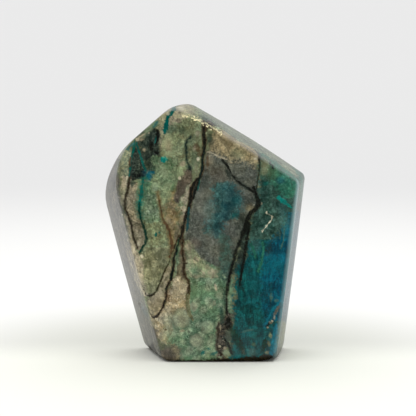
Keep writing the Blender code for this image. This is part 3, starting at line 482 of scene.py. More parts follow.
# A spot is a tilted ellipse. Each row holds its middle x and z, its half width and
# half height, its tilt in degrees, its edge and its strength. Later colours lie on top.
Spot = namedtuple("Spot", "x z wide high tilt edge strength")
SPOTS = (
    ("moss", (
        (-12.8, 83.0, 1.4, 1.1, 0, 0.6, 0.6), (-4.0, 26.2, 1.2, 2.6, 0, 0.7, 0.45),
        (2.0, 79.8, 1.4, 1.9, 0, 0.6, 0.6), (-20.0, 58.6, 1.1, 3.4, 0, 0.7, 0.5),
        (-18.6, 69.0, 1.3, 2.6, 0, 0.6, 0.6), (6.0, 17.4, 0.9, 3.4, 5, 0.6, 0.85),
        (6.9, 25.0, 0.5, 5.0, 4, 0.7, 0.6), (-11.6, 83.4, 2.6, 1.2, 0, 0.7, 0.6),
        (-8.2, 83.2, 1.6, 1.6, 0, 0.7, 0.6), (-18.2, 57.0, 1.2, 2.6, 0, 0.8, 0.45),
        (1.4, 86.3, 3.6, 1.4, -28, 0.6, 0.85), (-25.4, 64.6, 1.0, 1.4, 0, 0.5, 0.8),
        (-3.6, 72.4, 1.3, 3.0, 0, 0.8, 0.65), (-8.4, 15.9, 4.0, 4.3, 0, 0.2, 0.5),
        (-3.1, 8.0, 2.9, 2.9, 0, 0.2, 0.45), (0.9, 13.0, 3.1, 3.1, 0, 0.2, 0.45))),
    ("quartz_pale", (
        (-0.5, 57.5, 3.0, 6.5, 8, 0.7, 0.6), (2.0, 45.0, 2.0, 2.6, 0, 0.8, 0.4))),
    ("leaf", (
        (2.0, 2.7, 1.6, 1.1, 0, 0.6, 0.7), (11.6, 75.0, 2.4, 1.6, 0, 0.9, 0.35),
        (-4.0, 26.4, 1.4, 3.2, 0, 0.7, 0.8), (22.6, 69.0, 3.2, 2.4, -30, 0.8, 0.55),
        (17.5, 6.6, 0.6, 0.6, 0, 0.6, 0.5))),
    ("leaf_pale", (
        (-13.2, 60.2, 1.6, 1.8, 0, 0.6, 0.7), (-6.2, 62.8, 0.7, 1.2, 0, 0.5, 0.4),
        (-24.0, 65.4, 1.7, 0.4, 8, 0.5, 0.8), (-12.6, 78.0, 2.4, 3.6, 0, 0.25, 0.95),
        (-14.2, 68.2, 1.3, 2.4, 15, 0.5, 0.8), (-13.2, 63.6, 1.5, 1.3, 0, 0.4, 0.7),
        (-6.0, 82.3, 1.2, 1.2, 0, 0.5, 0.5), (-8.7, 68.6, 0.9, 2.6, -14, 0.4, 0.9),
        (-3.4, 69.0, 1.2, 4.4, 4, 0.4, 0.35), (23.4, 9.6, 0.5, 1.0, 10, 0.4, 0.75))),
    ("mint", (
        (-3.4, 33.2, 1.4, 1.6, 0, 0.7, 0.7), (-1.6, 25.0, 1.7, 3.2, 0, 0.8, 0.3),
        (-13.2, 9.0, 2.0, 2.8, 10, 0.8, 0.4))),
    ("mint_pale", (
        (-22.0, 81.2, 1.5, 0.9, 38, 0.6, 0.6), (-19.9, 83.4, 1.9, 1.0, 40, 0.6, 0.8),
        (-17.6, 63.2, 1.2, 1.6, 0, 0.4, 0.7), (4.9, 83.9, 0.9, 0.9, 0, 0.4, 0.85),
        (-10.6, 12.2, 1.2, 1.6, 0, 0.4, 0.5), (0.9, 13.0, 2.3, 2.3, 0, 0.25, 0.85),
        (-12.4, 13.6, 2.4, 4.0, 0, 0.4, 0.4), (-8.4, 15.9, 3.0, 3.3, 0, 0.25, 0.85),
        (-3.1, 8.0, 2.2, 2.2, 0, 0.25, 0.85), (-4.0, 20.2, 1.3, 1.7, 0, 0.3, 0.8),
        (7.4, 3.6, 1.1, 0.9, 0, 0.4, 0.8), (5.5, 2.0, 0.8, 0.5, 0, 0.4, 0.6))),
    ("sea_pale", (
        (-20.2, 64.4, 1.2, 2.6, 0, 0.7, 0.5), (-17.4, 85.3, 1.5, 1.0, 35, 0.6, 0.7))),
    ("olive", (
        (-7.8, 71.4, 0.5, 0.35, 35, 0.4, 0.8), (22.8, 6.8, 0.6, 1.0, 20, 0.5, 0.8),
        (21.2, 71.6, 1.8, 1.6, -30, 0.7, 0.85))),
    ("ochre", (
        (8.6, 79.0, 2.0, 1.6, 0, 0.8, 0.4),)),
    ("tan_pale", (
        (8.2, 80.6, 2.6, 0.9, -28, 0.6, 0.8),)),
    ("tan", (
        (-12.6, 77.2, 0.9, 1.6, 10, 0.6, 0.5), (16.4, 55.4, 1.3, 1.6, 20, 0.6, 0.7))),
    ("moss_pale", (
        (23.6, 23.6, 0.6, 1.3, 0, 0.5, 0.8), (25.4, 22.4, 0.8, 0.5, 0, 0.5, 0.7),
        (15.0, 11.5, 2.2, 0.35, 12, 0.6, 0.6))),
    ("quartz_blue", (
        (4.3, 49.6, 0.9, 2.8, -5, 0.7, 0.6),)),
    ("quartz_blue_pale", (
        (16.8, 3.6, 1.5, 1.3, 0, 0.6, 0.7), (-22.6, 16.6, 1.8, 2.0, 0, 0.8, 0.4),
        (28.2, 52.0, 1.6, 5.0, 4, 0.8, 0.55), (17.6, 42.5, 2.0, 2.6, 0, 0.8, 0.6),
        (1.6, 55.0, 1.8, 3.6, 0, 0.9, 0.4))),
    ("teal_soft", (
        (10.6, 53.0, 0.9, 0.8, 0, 0.6, 0.7), (11.0, 58.5, 1.4, 1.4, 0, 0.8, 0.5),
        (17.2, 28.6, 2.0, 2.8, 0, 0.9, 0.6))),
    ("blue_deep", (
        (-20.8, 68.0, 1.8, 1.2, 20, 0.6, 0.6), (7.8, 56.6, 1.8, 3.6, 0, 0.9, 0.35))),
    ("cream", (
        (-17.2, 22.8, 1.9, 2.4, 20, 0.6, 0.9), (2.0, 72.4, 1.2, 1.6, 0, 0.8, 0.5),
        (-13.0, 78.2, 1.7, 2.8, 0, 0.5, 0.45), (-22.4, 79.8, 0.6, 0.45, 0, 0.5, 0.8),
        (-21.4, 76.2, 0.5, 0.6, 0, 0.5, 0.7), (-20.2, 65.4, 0.9, 0.4, -10, 0.5, 0.8),
        (-2.4, 82.0, 0.9, 1.0, 0, 0.5, 0.6), (-3.4, 77.0, 0.6, 0.9, -20, 0.5, 0.8),
        (-7.8, 71.4, 1.2, 1.0, 35, 0.3, 0.7), (-3.0, 69.6, 0.6, 2.2, 4, 0.6, 0.3),
        (20.0, 57.2, 0.3, 0.5, 0, 0.5, 0.6), (-13.0, 51.0, 1.3, 1.6, 20, 0.7, 0.4),
        (-5.6, 41.6, 1.0, 1.3, 0, 0.5, 0.8), (2.6, 32.6, 1.6, 1.1, 0, 0.4, 0.6),
        (3.5, 21.8, 0.6, 1.0, 0, 0.5, 0.5), (-8.4, 15.9, 3.0, 3.3, 0, 0.25, 0.4),
        (-8.0, 11.6, 0.9, 0.6, 0, 0.4, 0.7), (-4.0, 20.2, 1.3, 1.7, 0, 0.3, 0.4),
        (-8.8, 26.6, 2.6, 2.4, 0, 0.3, 0.6), (-5.6, 41.8, 1.3, 1.4, 0, 0.3, 0.5),
        (-3.1, 8.0, 2.1, 2.1, 0, 0.25, 0.3), (5.6, 12.6, 0.3, 1.0, 0, 0.4, 0.7),
        (7.1, 5.2, 0.6, 0.5, 0, 0.4, 0.7), (24.8, 16.4, 0.4, 0.8, 0, 0.4, 0.6),
        (23.2, 14.4, 0.6, 0.5, 0, 0.4, 0.8), (22.4, 12.6, 0.4, 0.3, 0, 0.4, 0.8))),
    ("mauve_pale", (
        (-22.6, 80.4, 1.6, 0.9, 35, 0.6, 0.4), (-3.4, 43.2, 2.0, 1.6, -30, 0.7, 0.7),
        (-7.4, 62.8, 1.0, 2.4, -20, 0.5, 0.7), (-9.0, 86.6, 0.8, 0.8, 0, 0.6, 0.6),
        (-8.4, 15.8, 1.5, 1.6, 0, 0.5, 0.35), (5.4, 8.0, 0.5, 1.2, 5, 0.5, 0.8),
        (25.6, 19.0, 0.55, 2.6, -25, 0.4, 0.8))),
    ("mauve", (
        (4.4, 67.6, 3.8, 2.4, -20, 0.8, 0.6), (-0.6, 12.2, 0.5, 0.9, -25, 0.5, 0.5),
        (13.6, 4.2, 0.5, 1.4, 15, 0.6, 0.7))),
    ("umber", (
        (1.6, 84.2, 2.8, 0.6, -28, 0.6, 0.5), (-13.0, 24.0, 0.9, 2.2, 8, 0.6, 0.75),
        (-12.4, 25.4, 0.7, 2.6, 8, 0.6, 0.5), (-2.4, 76.4, 1.0, 2.4, 25, 0.6, 0.7),
        (1.0, 72.4, 0.5, 2.8, 0, 0.7, 0.6), (-8.0, 54.9, 0.32, 0.36, 0, 0.4, 0.9),
        (-11.0, 54.0, 0.7, 0.6, 0, 0.6, 0.5), (-13.8, 11.9, 0.45, 0.3, -20, 0.5, 0.9))),
    ("charcoal_pale", (
        (8.4, 9.8, 1.3, 2.4, 5, 0.4, 0.9),)),
    ("charcoal", (
        (14.2, 63.0, 1.7, 0.6, -30, 0.6, 0.7), (22.4, 40.6, 1.6, 2.2, 0, 0.8, 0.5),
        (-22.7, 17.0, 0.18, 0.45, 0, 0.4, 0.9), (8.4, 67.6, 0.8, 2.2, 30, 0.5, 0.7),
        (-8.0, 46.0, 0.55, 3.0, -14, 0.5, 0.8), (0.2, 65.8, 1.5, 3.4, -10, 0.8, 0.5),
        (16.4, 58.4, 1.6, 2.6, -10, 0.8, 0.4), (12.6, 50.6, 1.6, 3.2, -14, 0.8, 0.6),
        (-20.2, 71.6, 1.8, 3.0, 20, 0.6, 0.85), (-25.4, 66.4, 1.0, 1.2, 0, 0.5, 0.9),
        (-4.2, 61.4, 0.8, 4.8, -12, 0.4, 0.95), (-21.8, 17.8, 0.4, 0.28, 30, 0.4, 0.9))),
    ("bark", (
        (2.0, 85.4, 1.8, 1.0, -25, 0.5, 1.0), (0.2, 84.0, 0.9, 1.5, 0, 0.5, 0.8))),
    ("ink", (
        (-6.2, 9.2, 0.3, 0.4, 0, 0.4, 0.9), (21.2, 6.2, 0.8, 3.0, -12, 0.4, 0.95),
        (11.4, 8.6, 1.4, 5.6, 26, 0.4, 0.85))),
    ("black", (
        (-16.7, 80.9, 0.65, 2.5, -4, 0.4, 1.0), (-18.9, 77.4, 0.95, 2.1, 5, 0.5, 0.9),
        (-16.9, 75.2, 0.8, 0.6, 0, 0.5, 0.9), (-23.6, 67.3, 1.8, 0.7, 5, 0.6, 0.7),
        (19.0, 72.6, 0.45, 0.6, 0, 0.5, 0.8), (8.3, 14.4, 1.2, 2.3, 5, 0.5, 1.0),
        (22.4, 13.9, 1.3, 0.6, 25, 0.4, 0.95), (12.8, 8.0, 1.0, 0.6, -40, 0.6, 0.6))),
    ("teal", (
        (-13.5, 85.2, 0.85, 3.6, -11, 0.25, 1.0), (-10.9, 90.4, 0.7, 2.6, -32, 0.35, 1.0),
        (-12.4, 88.5, 0.75, 1.6, -34, 0.3, 1.0), (-20.2, 66.2, 0.9, 1.2, 10, 0.5, 0.7),
        (-17.4, 79.6, 0.25, 1.3, -10, 0.5, 0.8), (21.6, 64.4, 1.0, 0.8, 0, 0.5, 0.6),
        (-17.3, 46.2, 0.5, 0.8, -15, 0.3, 0.95), (-16.1, 46.9, 0.28, 0.4, 0, 0.4, 0.8),
        (-0.8, 3.6, 1.1, 0.6, 40, 0.4, 0.95), (3.4, 3.4, 1.4, 0.6, 28, 0.4, 0.85),
        (1.4, 5.0, 0.5, 0.4, 0, 0.5, 0.8))),
    ("blue", (
        (-19.6, 67.2, 0.9, 1.5, 10, 0.5, 0.8), (-18.4, 68.3, 0.8, 0.5, 0, 0.5, 0.7),
        (26.7, 65.4, 1.5, 1.3, 0, 0.6, 0.4), (27.2, 58.4, 0.75, 0.5, -35, 0.5, 0.8),
        (24.6, 35.2, 2.6, 3.4, 0, 0.9, 0.6))),
    ("teal_bright", (
        (-14.6, 72.9, 1.35, 0.95, 0, 0.3, 0.95), (26.2, 59.2, 0.9, 0.75, -30, 0.35, 0.95),
        (27.6, 58.1, 1.5, 0.85, -38, 0.35, 0.9), (29.6, 56.5, 1.5, 0.42, -35, 0.4, 0.8))),
    ("cream_pale", (
        (-22.3, 81.2, 1.2, 0.3, 30, 0.5, 0.8), (-19.6, 82.2, 0.35, 0.3, 0, 0.5, 0.6),
        (-23.6, 42.7, 0.5, 1.1, -25, 0.4, 0.9), (-8.0, 58.8, 0.4, 0.9, 10, 0.5, 0.7),
        (3.9, 27.2, 0.4, 1.3, 10, 0.4, 0.8))),
    ("fleck", (
        (-12.9, 89.0, 0.6, 0.6, 0, 0.5, 0.7), (-23.7, 80.0, 0.6, 0.5, 0, 0.5, 0.8),
        # Painted highlight: the first spot on the next line lights the polished tip
        (-8.0, 91.9, 1.8, 1.6, 10, 0.5, 1.0), (-2.3, 73.0, 0.45, 0.6, 0, 0.4, 0.85),
        (-8.9, 66.3, 0.42, 0.5, 0, 0.4, 1.0), (17.9, 73.2, 0.55, 0.5, 0, 0.5, 0.6),
        (17.5, 56.8, 0.3, 0.4, 0, 0.5, 0.8), (-16.8, 58.7, 0.25, 0.3, 0, 0.5, 0.8),
        (-22.3, 38.4, 0.55, 0.6, 20, 0.4, 0.9), (-22.3, 33.6, 0.4, 0.5, 0, 0.5, 0.6),
        (-27.3, 51.6, 0.25, 0.7, 15, 0.5, 0.7), (-29.3, 53.0, 0.3, 0.3, 0, 0.5, 0.6),
        (5.2, 5.9, 0.4, 0.5, 0, 0.4, 0.7), (6.6, 8.3, 0.35, 0.35, 0, 0.4, 0.6),
        (24.0, 15.0, 0.3, 0.4, 0, 0.4, 0.6))),
    ("blue_bright", (
        (27.6, 35.5, 1.2, 5.0, 4, 0.8, 0.5), (22.6, 38.0, 1.6, 0.8, 30, 0.8, 0.4),
        (29.4, 46.0, 0.8, 4.0, 4, 0.7, 0.4))),
    ("olive_pale", (
        (21.0, 69.0, 1.3, 1.5, 0, 0.7, 0.5), (22.3, 3.6, 0.8, 0.5, 0, 0.5, 0.7))),
)

HALF = 0.5
# How near two corners of the solid's loose triangles lie to be the same one, in metres
SAME_CORNER = 0.01 * MM
# Nodes stand in columns in the editor: how many to a column, and the steps between them
COLUMN = 8
STEP_RIGHT = 180
STEP_DOWN = -160

# Where the surface is rough: patches with pits, the golden edge and a chip at the left
PITTED = ("charcoal_upper", "charcoal_v", "flecked_foot")
GOLD_RIDGE = [(-9, 89.1), (-5, 87.6), (-1, 86.1), (2, 84.4), (6.4, 82.0)]
CHIP_MIDDLE = (-24.6, -4, 18.7)
CHIP_SIZE = (3.0, 5.0, 1.3)

# The front face is where the surface faces this much forward, and fully this much more
FACING_FROM = 0.35
FACING_SPAN = 0.3
# A groove starts to fade this far inside a vein's edge, and has gone this much further on
GROOVE_INSET = 0.2
GROOVE_FADE = 0.6
# Spacing of the coarse and the fine roughness, the share that the fine one adds, and the
# seeds. The pits' bias is added to the noise, and each patch has a seed of its own.
PIT_SPACING = (1.1, 0.55)
PIT_FINE = 0.5
PIT_BIAS = 0.25
PIT_SEED = 3
FINE_SEED_STEP = 10
CRUST_SPACING = (0.9, 0.5)
CRUST_FINE = 0.6
CRUST_SEEDS = (21, 22)
# The crust and the chip are at their full where these would pass 1, and fade from there
CRUST_FULL = 1.3
CHIP_FULL = 1.2
# The crust's half width, its left and right end, and how far it takes to fade in there
CRUST_REACH = 1.4
CRUST_ENDS = (-9.5, 7.6)
CRUST_FADE = 1.5

# The spans from here on say where something starts and ends, and some of them also what
# it goes from and to. These are places along x: where the painted gold glints start, end and thin out.
GLINT_START = (-8.6, -7.4)
GLINT_END = (6.6, 5.9)
GLINT_THINS = (-3, 1, 1, 0.45)
# Distances from the ridge, and the cells' chance, for solid and loose painted glints and the crest
GLINT_SOLID = (0.05, 0.34, 1, 0)
GLINT_SOLID_CHANCE = (0.2, 0.5)
GLINT_LOOSE = (0.4, 1.5, 1, 0)
GLINT_LOOSE_CHANCE = (0.82, 0.9)
CREST_SPAN = (0.6, 1.8, 0.8, 0)

# An edge of the front face: the direction out of the stone, and how far out it lies
LEFT_EDGE = (-0.648, 0, 0.762)
LEFT_EDGE_REACH = 76.6
RIGHT_EDGE = (0.992, 0, -0.126)
RIGHT_EDGE_REACH = 24.65
# The painted highlight down the right edge: distances out from that edge, heights, and depths past the
# front part
HIGHLIGHT_INNER = (-1.3, 0.0)
HIGHLIGHT_OUTER = (0.7, 1.6, 0.8, 0)
HIGHLIGHT_HEIGHTS = (22, 56, 0.45, 0.95)
HIGHLIGHT_DEPTHS = (0.0, 2.5, 1, 0)
# The dull upper left edge and tip, how much less of the polish shows there, how dark the
# painted shade on that edge is, and the heights over which the polish comes in above the foot
DULL_EDGE = (-4.0, -2.2)
DULL_EDGE_ALONG = (-5, -8)
DULL_TIP = (85, 87)
DULL_TIP_ALONG = (5, -3)
DULLING = -0.42
EDGE_PAINTED_SHADE = 0.1
POLISH_HEIGHTS = (1.4, 2.8)

# The pattern starts to drift this far behind the front, by this much for each millimetre
STEADY_DEPTH = 4.0
DRIFT_SHARE = 1.5
DRIFT_NOISE = (0.035, 1.0)
DRIFT_MIDDLE = (0.5, 0.5, 0.42)
# Two wanders, with their noise: the broad one and the fine one shift the fields, and the
# fine one alone shifts the spots and veins
BROAD_NOISE = (0.3, 3.0)
FINE_NOISE = (0.9, 4.0, 0.65)
BROAD_SHIFT = 3.4
FINE_SHIFT = 2.0
VEIN_SHIFT = 1.1
COLOUR_SHIFT = 0.3
# How far the outlines of patches, spots and veins are ragged, from one side to the other
PATCH_RAGGED = 5.0
SPOT_RAGGED = 2.4
VEIN_RAGGED = 1.5

# How far past its last row a vein or a patch has closed, and the half width that a vein
# without a fringe would have there
VEIN_TAPER = 1.2
PATCH_TAPER = 0.8
FADED = -0.6
# An open end of a patch counts as lying here when its middle is found
OPEN_LOW = -35
OPEN_HIGH = 90
# Where a vein's core fades, across its edge, and how much of a patch's edge is soft
CORE_SPAN = (-0.2, 0.26)
SOFT_SHARE = 0.9
# A closed end lies this many edges past a patch's middle
CLOSED_EDGES = 3
# A spot is ragged in proportion to its half size, up to a half size of this
SPOT_REACH = 0.8

# Each noise of the finish: its scale, detail, roughness and swirl
NOISES = {
    "grain": (1.1, 4.0, 0.7, 0.0), "cloud": (0.3, 5.0, 0.66, 1.2),
    "speck": (2.2, 2.0, 0.7, 0.0), "swell": (0.16, 2.0, 0.55, 0.0),
    "crumbs": (0.8, 5.0, 0.8, 0.0), "flow": (0.17, 4.0, 0.6, 1.6),
    "thread": (0.26, 4.0, 0.62, 1.0),
}
STREAK_NOISE = (0.8, 5.0, 0.68, 0.8)
STREAK_TURN = (0, 0.12, 0)
STREAK_STRETCH = (1, 0.6, 0.3)
ORB_SCALE = 0.33
GLINT_SCALE = 1.9
SEAM_SCALE = 0.26
SEAM_SPAN = (0.0, 0.12, 1, 0)
SEAM_BREAKS = (0.44, 0.6)
SEAM_STRENGTH = 0.55
# A thread lies where its noise crosses a level: that level, and how far from it it fades
DARK_THREAD = (0.47, 0.02)
PALE_THREAD = (0.55, 0.026)
THREAD_MIDDLE = 0.002
PALE_BREAKS = (0.4, 0.6, 0.1, 0.6)
PALE_PLACES = (6, 12, 1, 0.4)
# How noise breaks up the stains and the cores of veins
FRINGE_BREAKS = (0.3, 0.62, 0.1, 0.9)
CORE_BREAKS = (0.35, 0.6, 0.7, 1)
# Shares of cloud and grain in the mixed noise, and of grain in the orbs and the relief
MIXED_CLOUD = 0.8
MIXED_GRAIN = 0.2
ORB_GRAIN = -0.4
RELIEF_GRAIN = 0.12
BUMP_STRENGTH = 0.25
BUMP_HEIGHT = 0.02 * MM
QUARTZ_IOR = 1.54
GLOSS_SPAN = (0.3, 0.7)
GLOSS_SPREAD = 0.1
# Each texture that a patch can be mottled with: its noise, and where that starts and ends
MOTTLES = {
    "grain": ("grain", 0.34, 0.66), "haze": ("mixed", 0.3, 0.72),
    "cloud": ("mixed", 0.38, 0.62), "streak": ("streak", 0.36, 0.64),
    "crumb": ("crumbs", 0.42, 0.6), "orb": ("orbs", 0.45, 0.05),
}
# Each tone: its noise, where the noise starts and ends, and the brightness at both
TONES = (
    ("speck", 0.3, 0.7, 0.84, 1.12), ("grain", 0.3, 0.7, 0.78, 1.14),
    ("chance", 0.92, 1.0, 1, 1.35), ("flow", 0.35, 0.65, 0.79, 1.2),
    ("thread", 0.35, 0.65, 0.86, 1.14),
)
PALER = (1.8, 1.7, 1.7, 1)
WARMER = (1.05, 1.0, 0.9, 1)
WARM_SPAN = (0.35, 0.65)
BLACK = (0, 0, 0, 1)

# Floor, in metres: where the painted shadow takes over from the front colour, from front
# to back, where the painted band of light and the far colour do, out from the stone's
# middle, and where the floor that the stone mirrors turns dark, towards the camera
SHADOW_SPAN = (-0.012, 0.03)
LIGHT_BAND_SPAN = (0.05, 0.13)
FAR_SPAN = (0.15, 0.6)
DARK_SPAN = (-0.01, -0.1)
FLOOR_CUTS = 4
# How far up the ceiling's light starts and is full, and how far back that of the walls
CEILING_SPAN = (0.35, 0.8)
WALL_SPAN = (-0.5, 0.4)
MIRRORED_ROOM = 0.03
MIRRORED_FLOOR = (0.01, 0.01, 0.01, 1)
BACKDROP = scene_linear(233, 233, 233)[0]


class Bench:
    """A node tree being filled. Each call adds a node and hands back what it puts out."""

    def __init__(self, tree):
        self.tree = tree
        self.count = 0

    def node(self, kind, feeds=(), **settings):
        made = self.tree.nodes.new(kind)
        column, row = divmod(self.count, COLUMN)
        made.location = (STEP_RIGHT * column, STEP_DOWN * row)
        self.count += 1
        for name, value in settings.items():
            setattr(made, name, value)
        for slot, value in dict(feeds).items():
            self.feed(made.inputs[slot], value)
        return made

    def feed(self, socket, value):
        """Links what another node puts out, or sets a plain value."""
        if isinstance(value, bpy.types.NodeSocket):
            self.tree.links.new(value, socket)
        else:
            socket.default_value = value

    def math(self, operation, *values):
        return self.node(
            "ShaderNodeMath", dict(enumerate(values)), operation=operation).outputs[0]

    def product(self, first, *others):
        for value in others:
            first = self.math("MULTIPLY", first, value)
        return first

    def vector(self, operation, *values):
        made = self.node(
            "ShaderNodeVectorMath", dict(enumerate(values)), operation=operation)
        return made.outputs["Value" if operation in ("LENGTH", "DOT_PRODUCT") else "Vector"]

    def scaled(self, value, share):
        return self.node("ShaderNodeVectorMath", {0: value, "Scale": share},
                         operation="SCALE").outputs["Vector"]

    def nudged(self, place, wander, share):
        """A place moved by a share of a wander."""
        return self.vector("MULTIPLY_ADD", wander, (share,) * 3, place)

    def across(self, place):
        """How far a place lies along x and along z."""
        return {"x": self.vector("DOT_PRODUCT", place, (1, 0, 0)),
                "z": self.vector("DOT_PRODUCT", place, (0, 0, 1))}

    def beyond(self, place, direction, reach):
        """How far a place lies outside an edge."""
        return self.math("SUBTRACT", self.vector("DOT_PRODUCT", place, direction), reach)

    def ramp(self, value, start, end, low=0.0, high=1.0):
        """Eases from low to high as value goes from start to end."""
        feeds = {"Value": value, "From Min": start, "From Max": end,
                 "To Min": low, "To Max": high}
        return self.node(
            "ShaderNodeMapRange", feeds, interpolation_type="SMOOTHSTEP").outputs[0]

    def ragged(self, value, reach):
        """A noise spread evenly about nothing, over the reach."""
        return self.math("MULTIPLY_ADD", value, reach, -reach / 2)

    def apart(self, value, other):
        return self.math("ABSOLUTE", self.math("SUBTRACT", value, other))

    def blend(self, mask, under, over, way="MIX"):
        """The colour over laid on the colour under where the mask is 1."""
        made = self.node("ShaderNodeMix", data_type="RGBA", blend_type=way)
        for slot, value in (("Factor_Float", mask), ("A_Color", under), ("B_Color", over)):
            self.feed(next(s for s in made.inputs if s.identifier == slot), value)
        return next(s for s in made.outputs if s.identifier == "Result_Color")

    def times(self, colour, factor):
        return self.blend(1.0, colour, factor, "MULTIPLY")

    def grey(self, value):
        return self.node("ShaderNodeCombineColor", {0: value, 1: value, 2: value}).outputs[0]

    def most(self, masks):
        """The strongest of one or two masks."""
        return masks[0] if len(masks) == 1 else self.math("MAXIMUM", *masks)

    def cloud(self, place, scale, detail=3.0, roughness=0.55, swirl=0.0):
        feeds = {"Vector": place, "Scale": scale, "Detail": detail, "Roughness": roughness,
                 "Distortion": swirl}
        return self.node("ShaderNodeTexNoise", feeds)

    def wander(self, place, *settings):
        """A noise as a direction, from minus a half to a half each way."""
        colour = self.cloud(place, *settings).outputs["Color"]
        return self.vector("SUBTRACT", colour, (HALF,) * 3)

    def cells(self, place, scale, feature, output, **feeds):
        return self.node("ShaderNodeTexVoronoi", {"Vector": place, "Scale": scale, **feeds},
                         feature=feature).outputs[output]

    def curve(self, along, points):
        """A value that follows the given points as along changes, level past both ends."""
        made = self.node("ShaderNodeFloatCurve", {"Value": along})
        fill_curve(made.mapping, points)
        return made.outputs[0]

    def group(self, tree, feeds):
        return self.node("ShaderNodeGroup", feeds, node_tree=tree).outputs


def cleared(owner):
    """The bench of a material or a world, with nothing on it."""
    owner.use_nodes = True
    owner.node_tree.nodes.clear()
    return Bench(owner.node_tree)


def fill_curve(mapping, points):
    """Puts the points on the mapping's first curve."""
    mapping.use_clip = False
    mapping.extend = "HORIZONTAL"
    line = mapping.curves[0]
    ordered = sorted(points)
    line.points[0].location = ordered[0]
    line.points[1].location = ordered[-1]
    for place in ordered[1:-1]:
        line.points.new(*place)
    for point in line.points:
        point.handle_type = "AUTO_CLAMPED"
    mapping.update()


def closed_rows(rows, taper, crossing):
    """The rows of a patch or vein with one more past each end, where it has closed."""
    ordered = sorted(rows)
    first, last = ordered[0], ordered[-1]
    return [crossing(first, first[0] - taper), *ordered, crossing(last, last[0] + taper)]


def two_lines(rows):
    """Rows of a place and two values, as the points of two curves."""
    return [(a, first) for a, first, _ in rows], [(a, second) for a, _, second in rows]


def vein_lines(vein):
    """The vein's middle line and its half width, as points for two curves."""
    return two_lines(closed_rows(vein.rows, VEIN_TAPER, lambda row, along: (
        along, row[1], FADED - vein.reach)))


def patch_lines(patch):
    """The patch's low and high edge, as points for two curves."""
    def crossing(row, along):
        middle = (max(row[1], OPEN_LOW) + min(row[2], OPEN_HIGH)) / 2
        return along, middle + CLOSED_EDGES * patch.edge, middle - CLOSED_EDGES * patch.edge
    return two_lines(closed_rows(patch.rows, PATCH_TAPER, crossing))


DIRECTIONS = ("Place", "Middle", "Wide Axis", "High Axis")


def new_group(name, inputs, outputs):
    """An empty shader group, its bench, and its input node's outputs."""
    tree = bpy.data.node_groups.new(name, "ShaderNodeTree")
    for label in inputs:
        kind = "Vector" if label in DIRECTIONS else "Float"
        tree.interface.new_socket(label, in_out="INPUT", socket_type="NodeSocket" + kind)
    for label in outputs:
        tree.interface.new_socket(label, in_out="OUTPUT", socket_type="NodeSocketFloat")
    bench = Bench(tree)
    return tree, bench, bench.node("NodeGroupInput").outputs


def vein_group():
    """Masks of a vein: its core, and the stain that reaches out beside it."""
    tree, bench, given = new_group(
        "vein", ("Across", "Centre", "Half Width", "Reach", "Ragged"), ("Core", "Fringe"))
    past = bench.math("SUBTRACT", bench.apart(given["Across"], given["Centre"]),
                      given["Half Width"])
    past = bench.math("ADD", past, given["Ragged"])
    core = bench.ramp(past, *CORE_SPAN, 1, 0)
    fringe = bench.ramp(past, 0.0, given["Reach"], 1, 0)
    bench.node("NodeGroupOutput", {"Core": core, "Fringe": fringe})
    return tree


def patch_group():
    """Mask of a field between two edges, soft over the edge distance."""
    tree, bench, given = new_group(
        "patch", ("Across", "Low", "High", "Edge", "Ragged"), ("Mask",))
    left = bench.math("SUBTRACT", given["Across"], given["Low"])
    right = bench.math("SUBTRACT", given["High"], given["Across"])
    inside = bench.math("MINIMUM", left, right)
    inside = bench.math("MULTIPLY_ADD", given["Ragged"], given["Edge"], inside)
    outer = bench.math("MULTIPLY", given["Edge"], -SOFT_SHARE)
    inner = bench.math("MULTIPLY", given["Edge"], SOFT_SHARE)
    bench.node("NodeGroupOutput", {"Mask": bench.ramp(inside, outer, inner)})
    return tree


def spot_group():
    """Mask of a tilted ellipse: each axis is a direction divided by the half size along it."""
    tree, bench, given = new_group(
        "spot", (*DIRECTIONS, "Edge", "Strength", "Ragged", "Share"), ("Mask",))
    offset = bench.vector("SUBTRACT", given["Place"], given["Middle"])
    wide = bench.vector("DOT_PRODUCT", offset, given["Wide Axis"])
    high = bench.vector("DOT_PRODUCT", offset, given["High Axis"])
    size = bench.math("SQRT", bench.math(
        "MULTIPLY_ADD", wide, wide, bench.math("MULTIPLY", high, high)))
    size = bench.math("MULTIPLY_ADD", given["Ragged"], given["Share"], size)
    inner = bench.math("SUBTRACT", 1.0, given["Edge"])
    outer = bench.math("ADD", 1.0, given["Edge"])
    mask = bench.ramp(size, inner, outer, given["Strength"], 0)
    bench.node("NodeGroupOutput", {"Mask": mask})
    return tree


def other(axis):
    return "x" if axis == "z" else "z"


def paint_patches(bench, colours, textures, across, ragged, ground):
    """Each patch in its dark colour, mottled with its pale one."""
    group = patch_group()
    for patch in PATCHES:
        low, high = patch_lines(patch)
        along = across[patch.along]
        mask = bench.group(group, {
            "Across": across[other(patch.along)], "Low": bench.curve(along, low),
            "High": bench.curve(along, high), "Edge": patch.edge, "Ragged": ragged})["Mask"]
        ground = bench.blend(mask, ground, colours[patch.dark])
        mottle = bench.math("MULTIPLY", mask, textures[patch.texture])
        ground = bench.blend(mottle, ground, colours[patch.pale])
    return ground


def paint_spots(bench, colours, place, ragged, ground):
    """All spots of one colour in one go, so that where two overlap the stronger one shows."""
    group = spot_group()
    for colour, rows in SPOTS:
        masks = []
        for spot in map(Spot._make, rows):
            cosine, sine = math.cos(math.radians(spot.tilt)), math.sin(math.radians(spot.tilt))
            masks.append(bench.group(group, {
                "Place": place, "Middle": (spot.x, 0, spot.z),
                "Wide Axis": (cosine / spot.wide, 0, sine / spot.wide),
                "High Axis": (-sine / spot.high, 0, cosine / spot.high),
                "Edge": spot.edge, "Strength": spot.strength, "Ragged": ragged,
                "Share": min(1.0, SPOT_REACH / min(spot.wide, spot.high))})["Mask"])
            masks = [bench.most(masks)]
        ground = bench.blend(masks[0], ground, colours[colour])
    return ground


